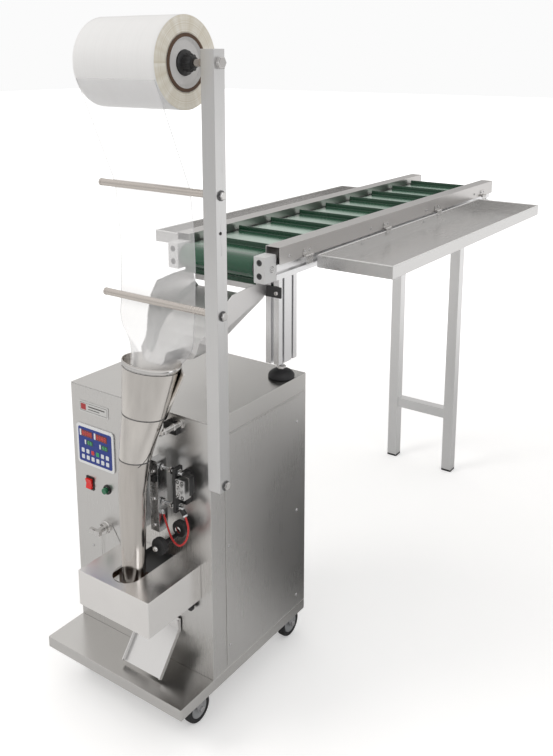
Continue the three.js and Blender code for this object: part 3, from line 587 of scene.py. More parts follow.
def carried(section, path, up=(0, 0, 1)):
    """Section points (across, up) set square to each point of the path: point = path + across *
    side + up * rise, where side is tangent x up. The ends close to a pole."""
    section, path = np.asarray(section, float), np.asarray(path, float)
    tangent = np.gradient(path, axis=0)
    tangent /= np.linalg.norm(tangent, axis=1)[:, None]
    side = np.cross(tangent, up)
    side /= np.linalg.norm(side, axis=1)[:, None]
    rise = np.cross(side, tangent)
    rings = (path[:, None] + section[None, :, 0, None] * side[:, None]
             + section[None, :, 1, None] * rise[:, None])
    poles = [np.repeat(path[end][None], len(section), 0)[None] for end in (0, -1)]
    return np.concatenate([poles[0], rings, poles[1]])


def circle(radius, count=12):
    """Points of a circle about nought, as the section of a wire or tube."""
    t = np.linspace(0, 2 * np.pi, count, endpoint=False)
    return radius * np.stack([np.cos(t), np.sin(t)], -1)


def through(points, count=60):
    """A smooth line through the points: Catmull-Rom cubic between neighbours, evenly sampled."""
    points = np.asarray(points, float)
    padded = np.concatenate([2 * points[:1] - points[1:2], points, 2 * points[-1:] - points[-2:-1]])
    at = np.linspace(0, len(points) - 1 - 1e-9, count)
    k, t = at.astype(int), (at % 1)[:, None]
    a, b, c, d = padded[k], padded[k + 1], padded[k + 2], padded[k + 3]
    return 0.5 * (2 * b + (c - a) * t + (2 * a - 5 * b + 4 * c - d) * t ** 2
                  + (3 * b - a - 3 * c + d) * t ** 3)


stay_line = through([(93, -6, 402), (91, -5, 385), (90, -5, 350), (92, -5, 310), (92, -2.5, 290)], 30)
fitted(woven("wire_stay", carried(circle(1.3), stay_line, (0, 1, 0)), around=True), chrome)
GUSSET = [(104, 428), (126, 428), (158, 380), (176, 338), (96, 318), (94, 360), (95, 400)]
fitted(woven("sheet_gusset", facing_front(plate(GUSSET, 0.1, 1.6), (0, 0, 0)), around=True),
       satin_sheet, edge=0.4)
fitted(woven("front_screw", turned(pan_head(3.4, 1.6), (0, -1, 0), (55, 0, 346), 20), around=True),
       screw_steel)

# ---- Forming trunk ---------------------------------------------------------------------------
# Three rolled and polished sheet sections, soldered end to end with thin dark joints, a bright
# collar at the rim, a folded wing on the right and a lap seam that winds down to the tube.

TRUNK_Z = [400, 620, 696, 740, 790, 850, 905]
TRUNK = {"x": [297, 300, 302, 301, 300, 298, 296], "y": [-98, -96, -86, -72, -52, -34, -16],
         "wide": [26, 33, 39, 47, 57, 69, 80], "deep": [26, 30, 31, 33, 37, 43, 50]}


def on_trunk(height, turn, proud=0.0):
    """A point of the trunk's outside: middle + (wide * cos turn, deep * sin turn) at that height,
    all interpolated between the sections, and proud of the sheet by so many millimetres."""
    height, turn = np.broadcast_arrays(np.asarray(height, float), np.asarray(turn, float))
    x, y, wide, deep = (np.interp(height, TRUNK_Z, TRUNK[key]) for key in ("x", "y", "wide", "deep"))
    out = 0.85 + proud
    return np.stack([x + (wide + out) * np.cos(turn), y + (deep + out) * np.sin(turn), height], -1)


def band(name, low, high, proud, material):
    """A thin hoop round the trunk between two heights: outside up, inside down, joined."""
    turn = np.linspace(0, 2 * np.pi, 96, endpoint=False)
    levels = [(low, proud), (high, proud), (high, 0.02), (low, 0.02)]
    rows = np.stack([on_trunk(np.full(96, height), turn, reach) for height, reach in levels])
    return fitted(woven(name, rows, around=True, along=True), material)


polished = finish("polished sheet", (0.76, 0.73, 0.695), 0.17, (60, 60, 5), 0.22, 0.00001, 0.6,
                  Metallic=1.0)
tube_sheet = finish("polished tube", (0.58, 0.55, 0.52), 0.19, (80, 80, 4), 0.42, 0.00002, 0.6,
                    Metallic=1.0)
joint_dark = finish("joint line", (0.035, 0.03, 0.028), 0.4, (200, 200, 200), 0.3, 0.00003, 0.2,
                    Metallic=0.4)
dress(["trunk_top", "trunk_middle"], polished, 0.3)
dress(["trunk_tube"], tube_sheet, 0.3)
band("upper_joint", 788.0, 790.8, 0.3, joint_dark)
band("lower_joint", 694.0, 696.8, 0.3, joint_dark)
band("rim_joint", 891.2, 892.8, 0.45, joint_dark)
band("rim_collar", 892.8, 903.5, 0.6, chrome)

SEAM_HEIGHTS = [688, 694, 705, 722, 745, 781, 820, 858, 891]
SEAM_TURNS = np.radians([-40, -28, -12, -2, 6, 13, 19, 25, 30])
seam_height = np.linspace(688, 891, 60)
seam_turn = np.interp(seam_height, SEAM_HEIGHTS, SEAM_TURNS)
seam_rows = np.stack([on_trunk(seam_height, seam_turn + shift, proud)
                      for shift, proud in ((-0.024, 0.05), (-0.018, 0.7), (0.018, 0.7),
                                           (0.024, 0.05))], 1)
fitted(woven("lap_seam", seam_rows, around=True), joint_dark)


def wing():
    """Ruled sheet between the trunk's right side and a straight free edge, bowed a little."""
    share = np.linspace(0, 1, 14)
    height = 783 + share * 118
    inner = on_trunk(height, np.interp(height, SEAM_HEIGHTS, SEAM_TURNS) + 0.03, 0.2)
    outer = np.array([345, -26, 778.0]) + share[:, None] * (np.array([399, -20, 896.0])
                                                           - (345, -26, 778.0))
    across = np.linspace(0, 1, 8)[None, :, None]
    rows = inner[:, None] * (1 - across) + outer[:, None] * across
    rows[..., 1] -= 3.0 * np.sin(np.pi * across[..., 0])
    made = woven("trunk_wing", rows)
    thick = made.modifiers.new("sheet", "SOLIDIFY")
    thick.thickness, thick.offset = 0.0012, 0.0
    return made


fitted(wing(), polished)

# ---- Vertical sealing jaws -------------------------------------------------------------------
# Two milled jaws press the film's overlap from both sides. The right one slides on two rods in a
# black arm plate, pushed by a short air cylinder; a red sleeved lead feeds its heater.

milled = finish("milled aluminium", (0.66, 0.67, 0.68), 0.26, (30, 30, 420), 0.14, 0.00003, 0.5,
                Metallic=1.0)
arm_black = finish("black plate", (0.016, 0.016, 0.017), 0.34, (200, 200, 200), 0.35, 0.00004, 0.6,
                   (0.16, 0.16, 0.16))
cast_block = finish("cylinder block", (0.58, 0.58, 0.58), 0.32, (90, 90, 90), 0.35, 0.00006, 0.5,
                    Metallic=1.0)
dress(["vertical_jaw_left", "vertical_jaw_right"], milled, 1.0)
dress(["seal_arm"], arm_black, 1.2)
dress(["air_cylinder"], cast_block, 1.2)



def repeated(name, profile, axis, spots, segments, material, body="machine", edge=0.0, along=False):
    """The same turned piece at each spot, as one object."""
    grids = np.stack([turned(profile, axis, spot, segments) for spot in spots])
    return fitted(woven(name, grids, around=True, along=along), material, body, edge)


TO_RIGHT, TO_FRONT = (1, 0, 0), (0, -1, 0)
arm_bolt_spots = [(386, -32, z) for z in (662, 577)]
repeated("arm_bolts", pan_head(5.6, 5.5), TO_RIGHT, arm_bolt_spots, 24, chrome, edge=0.3)
repeated("arm_washers", [(0, 0), (8, 0), (8, 1.2), (0, 1.2)], TO_RIGHT, arm_bolt_spots, 24,
         screw_steel, edge=0.3)
rod_collar = [(4.3, 0), (8, 0.6), (8, 5.4), (4.3, 6)]
repeated("rod_collars", rod_collar, TO_RIGHT, [(340 + 8 * k, -37, z) for z in (578, 664)
                                               for k in (0, 3)],
         24, chrome, "right_seal_jaw", 0.3, along=True)
repeated("jaw_bolts", pan_head(4.5, 3.6), TO_FRONT, [(325, -52, z) for z in (520, 587, 655)], 22,
         chrome, "right_seal_jaw", 0.3)
repeated("left_jaw_bolts", pan_head(4.0, 3.2), TO_FRONT, [(283, -50, z) for z in (518, 656)], 22,
         chrome, "left_seal_jaw", 0.3)
fitted(woven("jaw_clip", facing_front(plate(oblong(14, 16, 2), 52.2, 60), (330, 0, 640)),
             around=True), arm_black, "right_seal_jaw", 0.8)
socket = [(0, -0.6), (2.2, -0.6), (2.5, 0.3), (4.4, 0.3), (4.9, 0), (4.9, -1), (0, -1)]
repeated("cylinder_screws", socket, TO_FRONT, [(x, -46.2, z) for x in (392, 406)
                                               for z in (610, 646)], 20, arm_black)
port = [(0, 0), (5.5, 0), (5.5, 3), (4, 4), (4, 9), (2.6, 9), (2.6, 4), (0, 4)]
repeated("cylinder_ports", port, TO_FRONT, [(399.5, -46, z) for z in (620, 636)], 6, chrome,
         edge=0.3)
BENT = [(388, -29, 660), (400, -29, 661), (413, -29, 661), (418.5, -29, 659.5), (420, -29, 654),
        (420, -29, 636), (420, -29, 616)]
strip = oblong(2.4, 15, 0.6, 3)
fitted(woven("bent_bracket", carried(strip, through(BENT, 26), (0, 1, 0)), around=True), arm_black)
fitted(woven("plug_body", turned([(0, -9), (5.4, -9), (6.2, -7.5), (6.2, 6), (4.6, 8.5), (0, 8.5)],
                                 (-0.72, 0.1, 0.69), (399.5, -36.8, 570), 26), around=True), arm_black,
       edge=0.4)
fitted(woven("plug_ring", turned([(3.1, -1.8), (5.6, -1.8), (5.6, 1.8), (3.1, 1.8)],
                                 (-0.6, 0.05, 0.8), (406.5, -37.8, 562.5), 26), around=True,
             along=True), keypad_white, edge=0.3)

# Red silicone sleeve over the heater's wires, braided.
LEAD = [(342, -40, 548), (352, -40, 520), (367, -40, 491), (388, -40, 482), (409, -40, 503),
        (416.5, -40, 536), (405, -37.6, 564)]


def skin_of(tree):
    """The worked surface in a material's nodes."""
    return next(node for node in tree.nodes if node.type == "GROUP")


def sleeve_material():
    """Two families of diagonal waves in the tube's own length and turn make the braid."""
    made = finish("red sleeve", (0.62, 0.022, 0.02), 0.42, (300, 300, 300), 0.25, 0.00005, 0.0,
                  Sheen_Weight=0.2)
    tree = made.node_tree
    shader = tree.nodes["Principled BSDF"]
    uv = place(tree, "SeparateXYZ", {0: place(tree, "TexCoord").outputs["UV"]})
    along = place(tree, "Math", {0: uv.outputs[0], 1: 260.0}, operation="MULTIPLY")
    round_it = place(tree, "Math", {0: uv.outputs[1], 1: 25.13}, operation="MULTIPLY")
    plus = place(tree, "Math", {0: along.outputs[0], 1: round_it.outputs[0]}, operation="ADD")
    minus = place(tree, "Math", {0: along.outputs[0], 1: round_it.outputs[0]}, operation="SUBTRACT")
    waves = [place(tree, "Math", {0: one.outputs[0]}, operation="SINE") for one in (plus, minus)]
    weave = place(tree, "Math", {0: waves[0].outputs[0], 1: waves[1].outputs[0]},
                  operation="MULTIPLY")
    bump = place(tree, "Bump", {"Strength": 0.6, "Distance": 0.0003, "Height": weave.outputs[0]})
    tree.links.new(bump.outputs[0], shader.inputs["Normal"])
    shade = place(tree, "MapRange", {0: weave.outputs[0], 1: -1.0, 2: 1.0, 3: 0.75, 4: 1.15})
    skin = skin_of(tree)
    tinted = place(tree, "VectorMath", {0: skin.outputs["Colour"], "Scale": shade.outputs[0]},
                   operation="SCALE")
    tree.links.new(tinted.outputs[0], shader.inputs["Base Color"])
    return made


def unrolled(piece, rows, columns):
    """UV map of a grid: u is the row's share of the length, v the column's share of the turn."""
    layer = piece.data.uv_layers.new(name="unrolled")
    corner = np.zeros(len(piece.data.loops), int)
    piece.data.loops.foreach_get("vertex_index", corner)
    row, column = np.maximum(corner - 1, 0) // columns, np.maximum(corner - 1, 0) % columns
    layer.data.foreach_set("uv", np.stack([row / rows, column / columns], -1).ravel())


lead_rings = carried(circle(2.4, 16), through(LEAD, 90), (0, 1, 0))
lead = woven("heater_sleeve", lead_rings, around=True)
unrolled(lead, 90, 16)
lead.data.materials.append(sleeve_material())
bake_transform(lead)
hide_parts("heater_lead")
fitted(woven("lead_terminal", turned([(0, -6), (3.4, -6), (4.2, -5), (4.2, 4), (3.2, 6), (0, 6)],
                                     (-0.34, 0, 0.94), (340.2, -40, 553.5), 20), around=True),
       screw_steel, "right_seal_jaw", 0.3)

# ---- Pull wheels and tension post ------------------------------------------------------------
# Rubber-faced wheels draw the tube of film down; each is held by a chromed cap screw. A stub
# shaft with steel discs above them guides the film's edge.

wheel_rubber = finish("pull wheel rubber", (0.02, 0.02, 0.021), 0.6, (40, 300, 40), 0.4, 0.00012, 0.3,
                      (0.11, 0.11, 0.11))
dress(["pull_wheel_left", "pull_wheel_right"], wheel_rubber, 1.0)
dress(["tension_knob"], black_moulding, 1.2)
for side, x in (("right", 353), ("left", 253)):
    cap = [(0, 1.4), (2.4, 1.4), (2.8, 4.2), (5.4, 3.6), (6.6, 1.6), (6.6, 0), (0, 0)]
    fitted(woven(f"{side}_wheel_cap", turned(cap, (0, -1, 0), (x, -82.1, 483), 28), around=True),
           chrome, f"{side}_puller", 0.3)
    ribs = [(19.9, -73.8 + k) for k in (0.4, 2, 3, 4.6, 6.2, 7.2, 8.8, 10.4, 11.4, 13)]
    ribs = [(radius + (0.9 if n % 5 in (1, 2) else 0.0), y) for n, (radius, y) in enumerate(ribs)]
    tread = np.concatenate([ribs, [(18.6, -61.2), (18.6, -73.0)]])
    fitted(woven(f"{side}_wheel_tread", turned(tread, (0, 1, 0), (x, 0, 483), 48), around=True,
                 along=True), wheel_rubber, f"{side}_puller", 0.2)
knob_cap = [(0, -27.2), (6, -27.4), (8.2, -28.6), (5, -29.6), (0, -30)]
fitted(woven("tension_knob_cap", turned(knob_cap, (0, 1, 0), (374, 0, 512), 28), around=True), chrome,
       "tension_adjuster", 0.2)

POST_AXIS = (363, 0, 762)
post_profile = [(0, -0.2), (12, -0.2), (12, -4), (6.2, -5), (6.2, -20), (8.6, -21), (8.6, -25),
                (6.2, -26), (6.2, -46), (7.4, -47), (7.4, -53), (4.6, -55), (4.6, -62), (0, -62)]
fitted(woven("film_edge_post", turned(post_profile, (0, 1, 0), POST_AXIS, 32), around=True), chrome,
       edge=0.4)
fitted(woven("edge_post_bracket", facing_front(plate(oblong(40, 26, 3), 0.1, 16), (346, 0, 752)),
             around=True), arm_black, edge=0.6)
arm_line = through([(360, -18, 757), (350, -22, 748), (340, -30, 742), (334, -38, 738)], 20)
fitted(woven("edge_post_arm", carried(circle(2.6, 14), arm_line), around=True), chrome)

# ---- Seal box and chute ----------------------------------------------------------------------
# Mirror-polished box over the cross jaws, with a round-ended slot for the tube, a black clamp knob
# beside it, and the satin chute that drops the finished bags in front. The cross jaws inside are
# wrapped in brown non-stick tape, before a dark heat shield.

mirror_sheet = finish("mirror sheet", (0.90, 0.885, 0.87), 0.26, (12, 12, 12), 0.08, 0.00001, 0.9,
                      Metallic=1.0)
dress(["seal_box"], mirror_sheet, 0.9)
chute_sheet = finish("chute sheet", (0.86, 0.855, 0.85), 0.30, (900, 14, 14), 0.06, 0.000002, 0.8,
                     Metallic=1.0)
dress(["chute"], chute_sheet, 0)
taped = finish("taped jaw", (0.10, 0.06, 0.038), 0.38, (90, 300, 90), 0.35, 0.00006, 0.4,
               (0.30, 0.22, 0.16))
dress(["cross_jaw_front", "cross_jaw_rear"], taped, 0.8)
fitted(woven("heat_shield", facing_front(plate(oblong(214, 78, 3), 0.6, 2.4), (307, 0, 378)),
             around=True), black_moulding, edge=0.3)
fitted(woven("clamp_knob", turned([(0, -16), (7, -16), (9, -14), (9, -7), (4, -5), (4, -0.1),
                                   (0, -0.1)], (0, 1, 0), (392, 0, 308), 28), around=True),
       black_moulding, edge=0.5)

# ---- Film unwind -----------------------------------------------------------------------------
# Square stainless post bolted to the cabinet's side, with the roll's shaft and two ground rods
# through it. Hexagon bolts with washers clamp them; the post's top is closed.

post_steel = finish("post steel", (0.70, 0.70, 0.70), 0.30, (900, 900, 9), 0.06, 0.000002, 0.9,
                    Metallic=1.0)
ground_bar = finish("ground bar", (0.66, 0.615, 0.575), 0.26, (900, 30, 30), 0.12, 0.00002, 0.4,
                    Metallic=1.0)
dress(["post"], post_steel, 0.9)
dress(["upper_guide_rod", "lower_guide_rod", "roll_shaft"], ground_bar, 0.8)

POST_RIGHT, POST_MIDDLE = 485.5, 9.5
ROD_HEIGHT = {"upper": 1300, "lower": 1038}
SHAFT_HEIGHT = 1571
bolt_places = [(POST_RIGHT, POST_MIDDLE, ROD_HEIGHT["upper"]),
               (POST_RIGHT, POST_MIDDLE, ROD_HEIGHT["lower"]), (POST_RIGHT, 12, 640)]
fitted(woven("post_bolts", np.stack([hexagon(9.6, 6.4, (1.0, 0, 0), spot, 1.6)
                                     for spot in bolt_places]), around=True), chrome, edge=0.5)
bracket_dark = finish("dark washer", (0.16, 0.16, 0.165), 0.35, (100, 100, 100), 0.3, 0.00004, 0.5,
                      (0.5, 0.5, 0.5), Metallic=0.8)
washer = [(0, 0), (11.5, 0), (11.5, 1.6), (0, 1.6)]
fitted(woven("post_washers", stacked(turned(washer, (1, 0, 0), (0, 0, 0), 30), bolt_places),
             around=True), bracket_dark, edge=0.3)
fitted(woven("shaft_bolt", hexagon(13.8, 9.4, (1.0, 0, 0), (POST_RIGHT, POST_MIDDLE, SHAFT_HEIGHT)),
             around=True), chrome, edge=0.7)
fitted(woven("post_small_screw", turned(pan_head(3.6, 1.8), (1, 0, 0), (POST_RIGHT, 6, 1220), 20),
             around=True), joint_dark)
post_lid = plate(oblong(34.6, 34.6, 1.2), 0, 2.4) + (467.8, POST_MIDDLE, 1596.4)
fitted(woven("post_lid", post_lid, around=True), post_steel, edge=0.5)
for rod_name, z in ROD_HEIGHT.items():
    rod_end = [(0, -1.0), (6.6, -0.9), (8.7, 0.6), (8.7, 6), (0, 6)]
    fitted(woven(f"{rod_name}_rod_cap", turned(rod_end, (1, 0, 0), (130, POST_MIDDLE, z), 32),
                 around=True), ground_bar)

# ---- Film roll -------------------------------------------------------------------------------
# Clear packing film wound on a brown card core: white and glossy round the outside, cream on the
# wound edges. A white plug centres the core, and a black hand nut locks it on the shaft.

ROLL = {"x0": 162, "x1": 398, "axis_y": POST_MIDDLE, "axis_z": SHAFT_HEIGHT, "outer": 98,
        "core": 60}


def film_roll_material():
    """Round the roll: fine bands along its axis. On the ends: rings by distance from the axis
    and a few soft spokes by angle, in a deeper cream."""
    made = finish("wound film", (0.83, 0.83, 0.83), 0.30, (420, 3, 3), 0.07, 0.00006, 0.3,
                  Coat_Weight=0.25, Coat_Roughness=0.2)
    tree = made.node_tree
    shader = tree.nodes["Principled BSDF"]
    skin = skin_of(tree)
    where = place(tree, "TexCoord").outputs["Object"]
    centre = (0.0, (ROLL["axis_y"] / 1000) + CORNER[1], ROLL["axis_z"] / 1000)
    offset = place(tree, "VectorMath", {0: where, 1: centre}, operation="SUBTRACT")
    flat = place(tree, "VectorMath", {0: offset.outputs[0], 1: (0.0, 1.0, 1.0)},
                 operation="MULTIPLY")
    radius = place(tree, "VectorMath", {0: flat.outputs[0]}, operation="LENGTH").outputs["Value"]
    ring = place(tree, "TexNoise", {"W": place(tree, "Math", {0: radius, 1: 420.0},
                 operation="MULTIPLY").outputs[0], "Scale": 1.0, "Detail": 2.0},
                 noise_dimensions="1D").outputs[0]
    parts = place(tree, "SeparateXYZ", {0: flat.outputs[0]})
    angle = place(tree, "Math", {0: parts.outputs[2], 1: parts.outputs[1]}, operation="ARCTAN2")
    spoke = place(tree, "TexNoise", {"W": place(tree, "Math", {0: angle.outputs[0], 1: 4.0},
                  operation="MULTIPLY").outputs[0], "Scale": 1.0, "Detail": 2.0},
                  noise_dimensions="1D").outputs[0]
    facing = place(tree, "SeparateXYZ", {0: place(tree, "NewGeometry").outputs["Normal"]})
    end = place(tree, "Math", {0: facing.outputs[0]}, operation="ABSOLUTE")
    end_mask = place(tree, "MapRange", {0: end.outputs[0], 1: 0.6, 2: 0.9})
    depth_of_cream = place(tree, "Math", {0: ring, 1: spoke}, operation="MULTIPLY")
    cream = place(tree, "ValToRGB", {0: depth_of_cream.outputs[0]})
    cream.color_ramp.elements[0].position, cream.color_ramp.elements[1].position = 0.12, 0.42
    cream.color_ramp.elements[0].color = (0.74, 0.68, 0.55, 1)
    cream.color_ramp.elements[1].color = (0.93, 0.90, 0.82, 1)
    mixed = place(tree, "Mix", {"Factor": end_mask.outputs[0], 6: skin.outputs["Colour"],
                                7: cream.outputs[0]}, data_type="RGBA")
    tree.links.new(mixed.outputs[2], shader.inputs["Base Color"])
    bump = place(tree, "Bump", {"Strength": 0.7, "Distance": 0.0003, "Height": ring,
                                "Normal": skin.outputs["Normal"]})
    tree.links.new(bump.outputs[0], shader.inputs["Normal"])
    return made


def wound_film():
    """Closed ring whose outside swells and whose ends waver by small sums of sines of the turn,
    as layers of film do that are wound under uneven tension."""
    x0, x1, outer, core = ROLL["x0"], ROLL["x1"], ROLL["outer"], ROLL["core"] + 0.3
    ends = np.linspace(0, 1, 9)
    wall = np.linspace(0, 1, 25)
    radius = np.concatenate([core + (outer - 1.4 - core) * ends, [outer - 0.5], np.full(25, outer),
                             [outer - 0.5], (core + (outer - 1.4 - core) * ends)[::-1]])
    along = np.concatenate([np.full(9, x0), [x0 + 0.4], x0 + 1.4 + (x1 - x0 - 2.8) * wall,
                            [x1 - 0.4], np.full(9, x1)])
    turn = np.linspace(0, 2 * np.pi, 160, endpoint=False)
    loose = 0.10 * np.sin(3 * turn + along[:, None] / 31) + 0.08 * np.sin(7 * turn - along[:, None] / 17)
    reach = radius[:, None] - 0.2 + loose * (radius[:, None] > outer - 1)
    waver = 0.25 * np.sin(radius * 1.9) * ((along < x0 + 0.2) | (along > x1 - 0.2))
    x = (along - np.sign(along - 280) * np.abs(waver))[:, None] + 0 * turn
    return np.stack([x, ROLL["axis_y"] + reach * np.cos(turn),
                     ROLL["axis_z"] + reach * np.sin(turn)], -1)


roll = fitted(woven("wound_film", wound_film(), around=True, along=True), film_roll_material(),
              "film_reel", slot="film")
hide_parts("film_roll")
card = finish("wound card", (0.11, 0.062, 0.038), 0.75, (120, 40, 40), 0.5, 0.0002, 0.3,
              (0.25, 0.17, 0.11))
dress(["roll_core"], card, 0.4)
hub_white = finish("white plug", (0.72, 0.71, 0.70), 0.38, (60, 160, 160), 0.14, 0.00005, 0.3)
dress(["roll_hub"], hub_white, 0.8)
hub_face = [(27, 392.2), (50.5, 392.2), (56.6, 398.2), (56.6, 399.4), (54, 399.6), (47, 393.0),
            (30, 393.0), (27.5, 394.0)]
fitted(woven("plug_rim", turned(hub_face, (1, 0, 0), (0, ROLL["axis_y"], ROLL["axis_z"]), 64),
             around=True, along=True), hub_white, "film_reel", 0.2)


def lobed_nut():
    """Stepped hand nut: each step's radius swells with the cosine of so many lobes of the turn."""
    steps = np.array([(8.3, 392.4, 0), (26, 392.4, 0), (26.6, 394, 0.35), (26.6, 397.6, 0.35),
                      (24, 399.2, 0.2), (18.4, 400.6, 0.9), (17.8, 403, 1.3), (17.8, 414, 1.3),
                      (16, 416.6, 0.8), (12, 418.6, 0), (11.6, 421.6, 0), (8.3, 421.8, 0)])
    turn = np.linspace(0, 2 * np.pi, 120, endpoint=False)
    radius = steps[:, 0, None] + steps[:, 2, None] * np.cos(12 * turn)
    return np.stack([np.repeat(steps[:, 1, None], 120, 1), ROLL["axis_y"] + radius * np.cos(turn),
                     ROLL["axis_z"] + radius * np.sin(turn)], -1)


nut = fitted(woven("lobed_nut", lobed_nut(), around=True, along=True), black_moulding, "film_reel",
             0.3, slot="black_plastic")
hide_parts("hand_nut")

# ---- Film web --------------------------------------------------------------------------------
# One width of clear film, 230 mm, from the roll behind both rods and into the trunk's mouth, where
# it curls round the front of the spout. It is thin, glossy and all but invisible.

WEB = {"width": 230, "middle": 280, "end_middle": 296, "rows": 150, "columns": 61,
       "flattening": 0.18}


def web_line():
    """The web's middle line in (y, z): off the roll, round the upper rod, past the lower one and
    down the inside of the trunk's front, with the curl's share at each place."""
    return np.array([(-83.6, 1538.5, 0), (-58, 1479, 0), (-32.5, 1419.5, 0), (-7, 1360, 0),
                     (17.8, 1303.6, 0), (18.7, 1299, 0), (22, 1260, 0), (27, 1200, 0), (29, 1130, 0),
                     (26, 1060, 0.0), (20, 1020, 0.03), (5, 985, 0.12), (-17, 950, 0.36),
                     (-40, 920, 0.72), (-53, 898, 0.96), (-60, 872, 1)], float)


def web_grid():
    """Across the web, the tangent turns by the curl's share of an oval's own tangent angle, and
    the line is the running sum of those tangents. The curl is then pressed flatter, up to the
    flattening at the trunk, which makes the sheet a little narrower there."""
    rows, columns = WEB["rows"], WEB["columns"]
    fine = through(web_line(), rows)
    share = fine[:, 2, None]
    oval = np.linspace(-1.0, 1.0, columns)
    turn = share.clip(0, 1) * np.radians(98) * np.sign(oval) * np.abs(oval) ** 0.85
    mid = (turn[:, 1:] + turn[:, :-1]) / 2
    step = WEB["width"] / (columns - 1)
    start = np.zeros((rows, 1))
    x = np.concatenate([start, np.cumsum(np.cos(mid) * step, 1)], 1)
    y = np.concatenate([start, np.cumsum(np.sin(mid) * step, 1)], 1)
    halfway = columns // 2
    x, y = x - x[:, halfway, None], y - y[:, halfway, None]
    middle = WEB["middle"] + (WEB["end_middle"] - WEB["middle"]) * share
    return np.stack([middle + x, fine[:, 0, None] + y * (1 - WEB["flattening"] * share),
                     np.repeat(fine[:, 1, None], columns, 1)], -1)


def clear_film():
    """See-through and a little white, cloudier in patches. A value stored at each vertex, 1 on
    the two cut edges, makes them denser and greyer, because light is caught there."""
    made = finish("clear film", (0.93, 0.93, 0.94), 0.30, (70, 70, 3), 0.02, 0.0, 0.0,
                  IOR=1.35)
    tree = made.node_tree
    skin = skin_of(tree)
    shader = tree.nodes["Principled BSDF"]
    haze = place(tree, "MapRange", {0: skin.outputs["Cloud"], 1: 0.3, 2: 0.7, 3: 0.36, 4: 0.44})
    cut_edge = place(tree, "Attribute", {}, attribute_name="cut_edge").outputs["Fac"]
    density = place(tree, "Mix", {"Factor": cut_edge, 2: haze.outputs[0], 3: 0.8})
    tree.links.new(density.outputs[0], shader.inputs["Alpha"])
    tone = place(tree, "Mix", {"Factor": cut_edge, 6: skin.outputs["Colour"],
                               7: (0.50, 0.51, 0.53, 1)}, data_type="RGBA")
    tree.links.new(tone.outputs[2], shader.inputs["Base Color"])
    return made


web_points = web_grid()
web = woven("film_sheet", web_points)
cut_edge = np.zeros(web_points.shape[:2])
cut_edge[:, [0, -1]] = 1.0
web.data.attributes.new("cut_edge", "FLOAT", "POINT").data.foreach_set("value", cut_edge.ravel())
web.data.materials.append(clear_film())
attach(web, "machine")
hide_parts("film_web")

# ---- Hopper ----------------------------------------------------------------------------------
# Folded trough of brushed sheet from the belt's end to the trunk, its upper edges hemmed, hung from
# a plain flange under the belt.

hopper_sheet = finish("hopper sheet", (0.88, 0.87, 0.865), 0.42, (30, 800, 800), 0.06, 0.000002, 0.8,
                      Metallic=1.0)
dress(["hopper"], hopper_sheet, 0)
flange = plate(oblong(236, 34, 2), 0, 2)[..., [0, 2, 1]] + (286, 290, 1030)
fitted(woven("hopper_flange", flange, around=True), hopper_sheet, edge=0.5)

# ---- Conveyor belt ---------------------------------------------------------------------------
# Smooth green coated belt with welded cross cleats of the same stuff, running round two rollers
# over a steel bed.

BELT = {"x0": 171, "x1": 401, "front": 257, "rear": 1598, "z": 1084, "outer": 29, "wall": 3}
STRAIGHT, HALF_TURN = BELT["rear"] - BELT["front"], math.pi * BELT["outer"]
LAP = 2 * (STRAIGHT + HALF_TURN)
CLEATS = {"count": 19, "first": 67}


def belt_place(distance):
    """Along the closed line: straight on top, half a circle, straight below, half a circle back.
    Gives the turn of the outward direction and the middle of curvature for each distance."""
    s = np.mod(distance, LAP)
    top, bend, under = s < STRAIGHT, s < STRAIGHT + HALF_TURN, s < 2 * STRAIGHT + HALF_TURN
    turn = np.where(top, 0.0, np.where(bend, (s - STRAIGHT) / BELT["outer"], np.where(
        under, np.pi, np.pi + (s - 2 * STRAIGHT - HALF_TURN) / BELT["outer"])))
    middle = np.where(top, BELT["front"] + s, np.where(bend, BELT["rear"], np.where(
        under, BELT["rear"] - (s - STRAIGHT - HALF_TURN), BELT["front"])))
    return turn, middle


def belt_points(distance, along, out):
    """Point at a distance along the belt, shifted along it and out from its outer face."""
    turn, middle = belt_place(distance)
    reach = BELT["outer"] + out
    return (middle + reach * np.sin(turn) + along * np.cos(turn),
            BELT["z"] + reach * np.cos(turn) - along * np.sin(turn))


def belt_loop():
    """A flat band with rounded edges, 230 by 3 mm in section, carried round the closed line. The
    section has extra points along its flat sides, for the colour stored on them."""
    section = oblong(BELT["x1"] - BELT["x0"], BELT["wall"], 1.4, 4)
    across = np.linspace(-0.92, 0.92, 13)[:, None] * section[0, 0]
    upper = np.column_stack([-across, np.full(13, BELT["wall"] / 2)])
    lower = np.column_stack([across, np.full(13, -BELT["wall"] / 2)])
    section = np.concatenate([section[:4], upper, section[4:12], lower, section[12:]])
    marks = [np.linspace(0, STRAIGHT, 180, endpoint=False),
             STRAIGHT + np.linspace(0, HALF_TURN, 24, endpoint=False),
             STRAIGHT + HALF_TURN + np.linspace(0, STRAIGHT, 60, endpoint=False),
             2 * STRAIGHT + HALF_TURN + np.linspace(0, HALF_TURN, 24, endpoint=False)]
    s = np.concatenate(marks)[:, None]
    y, z = belt_points(s, 0.0, section[None, :, 1] - BELT["wall"] / 2)
    x = (BELT["x0"] + BELT["x1"]) / 2 + section[None, :, 0] + 0 * s
    return np.stack([x, y, z], -1)


CLEAT = [(-8.5, -0.6), (-8.5, 0.4), (-4.2, 1.0), (-2.6, 2.6), (-2.1, 6), (-1.8, 12.8), (-1.1, 14.3),
         (1.1, 14.3), (1.8, 12.8), (2.1, 6), (2.6, 2.6), (4.2, 1.0), (8.5, 0.4), (8.5, -0.6)]


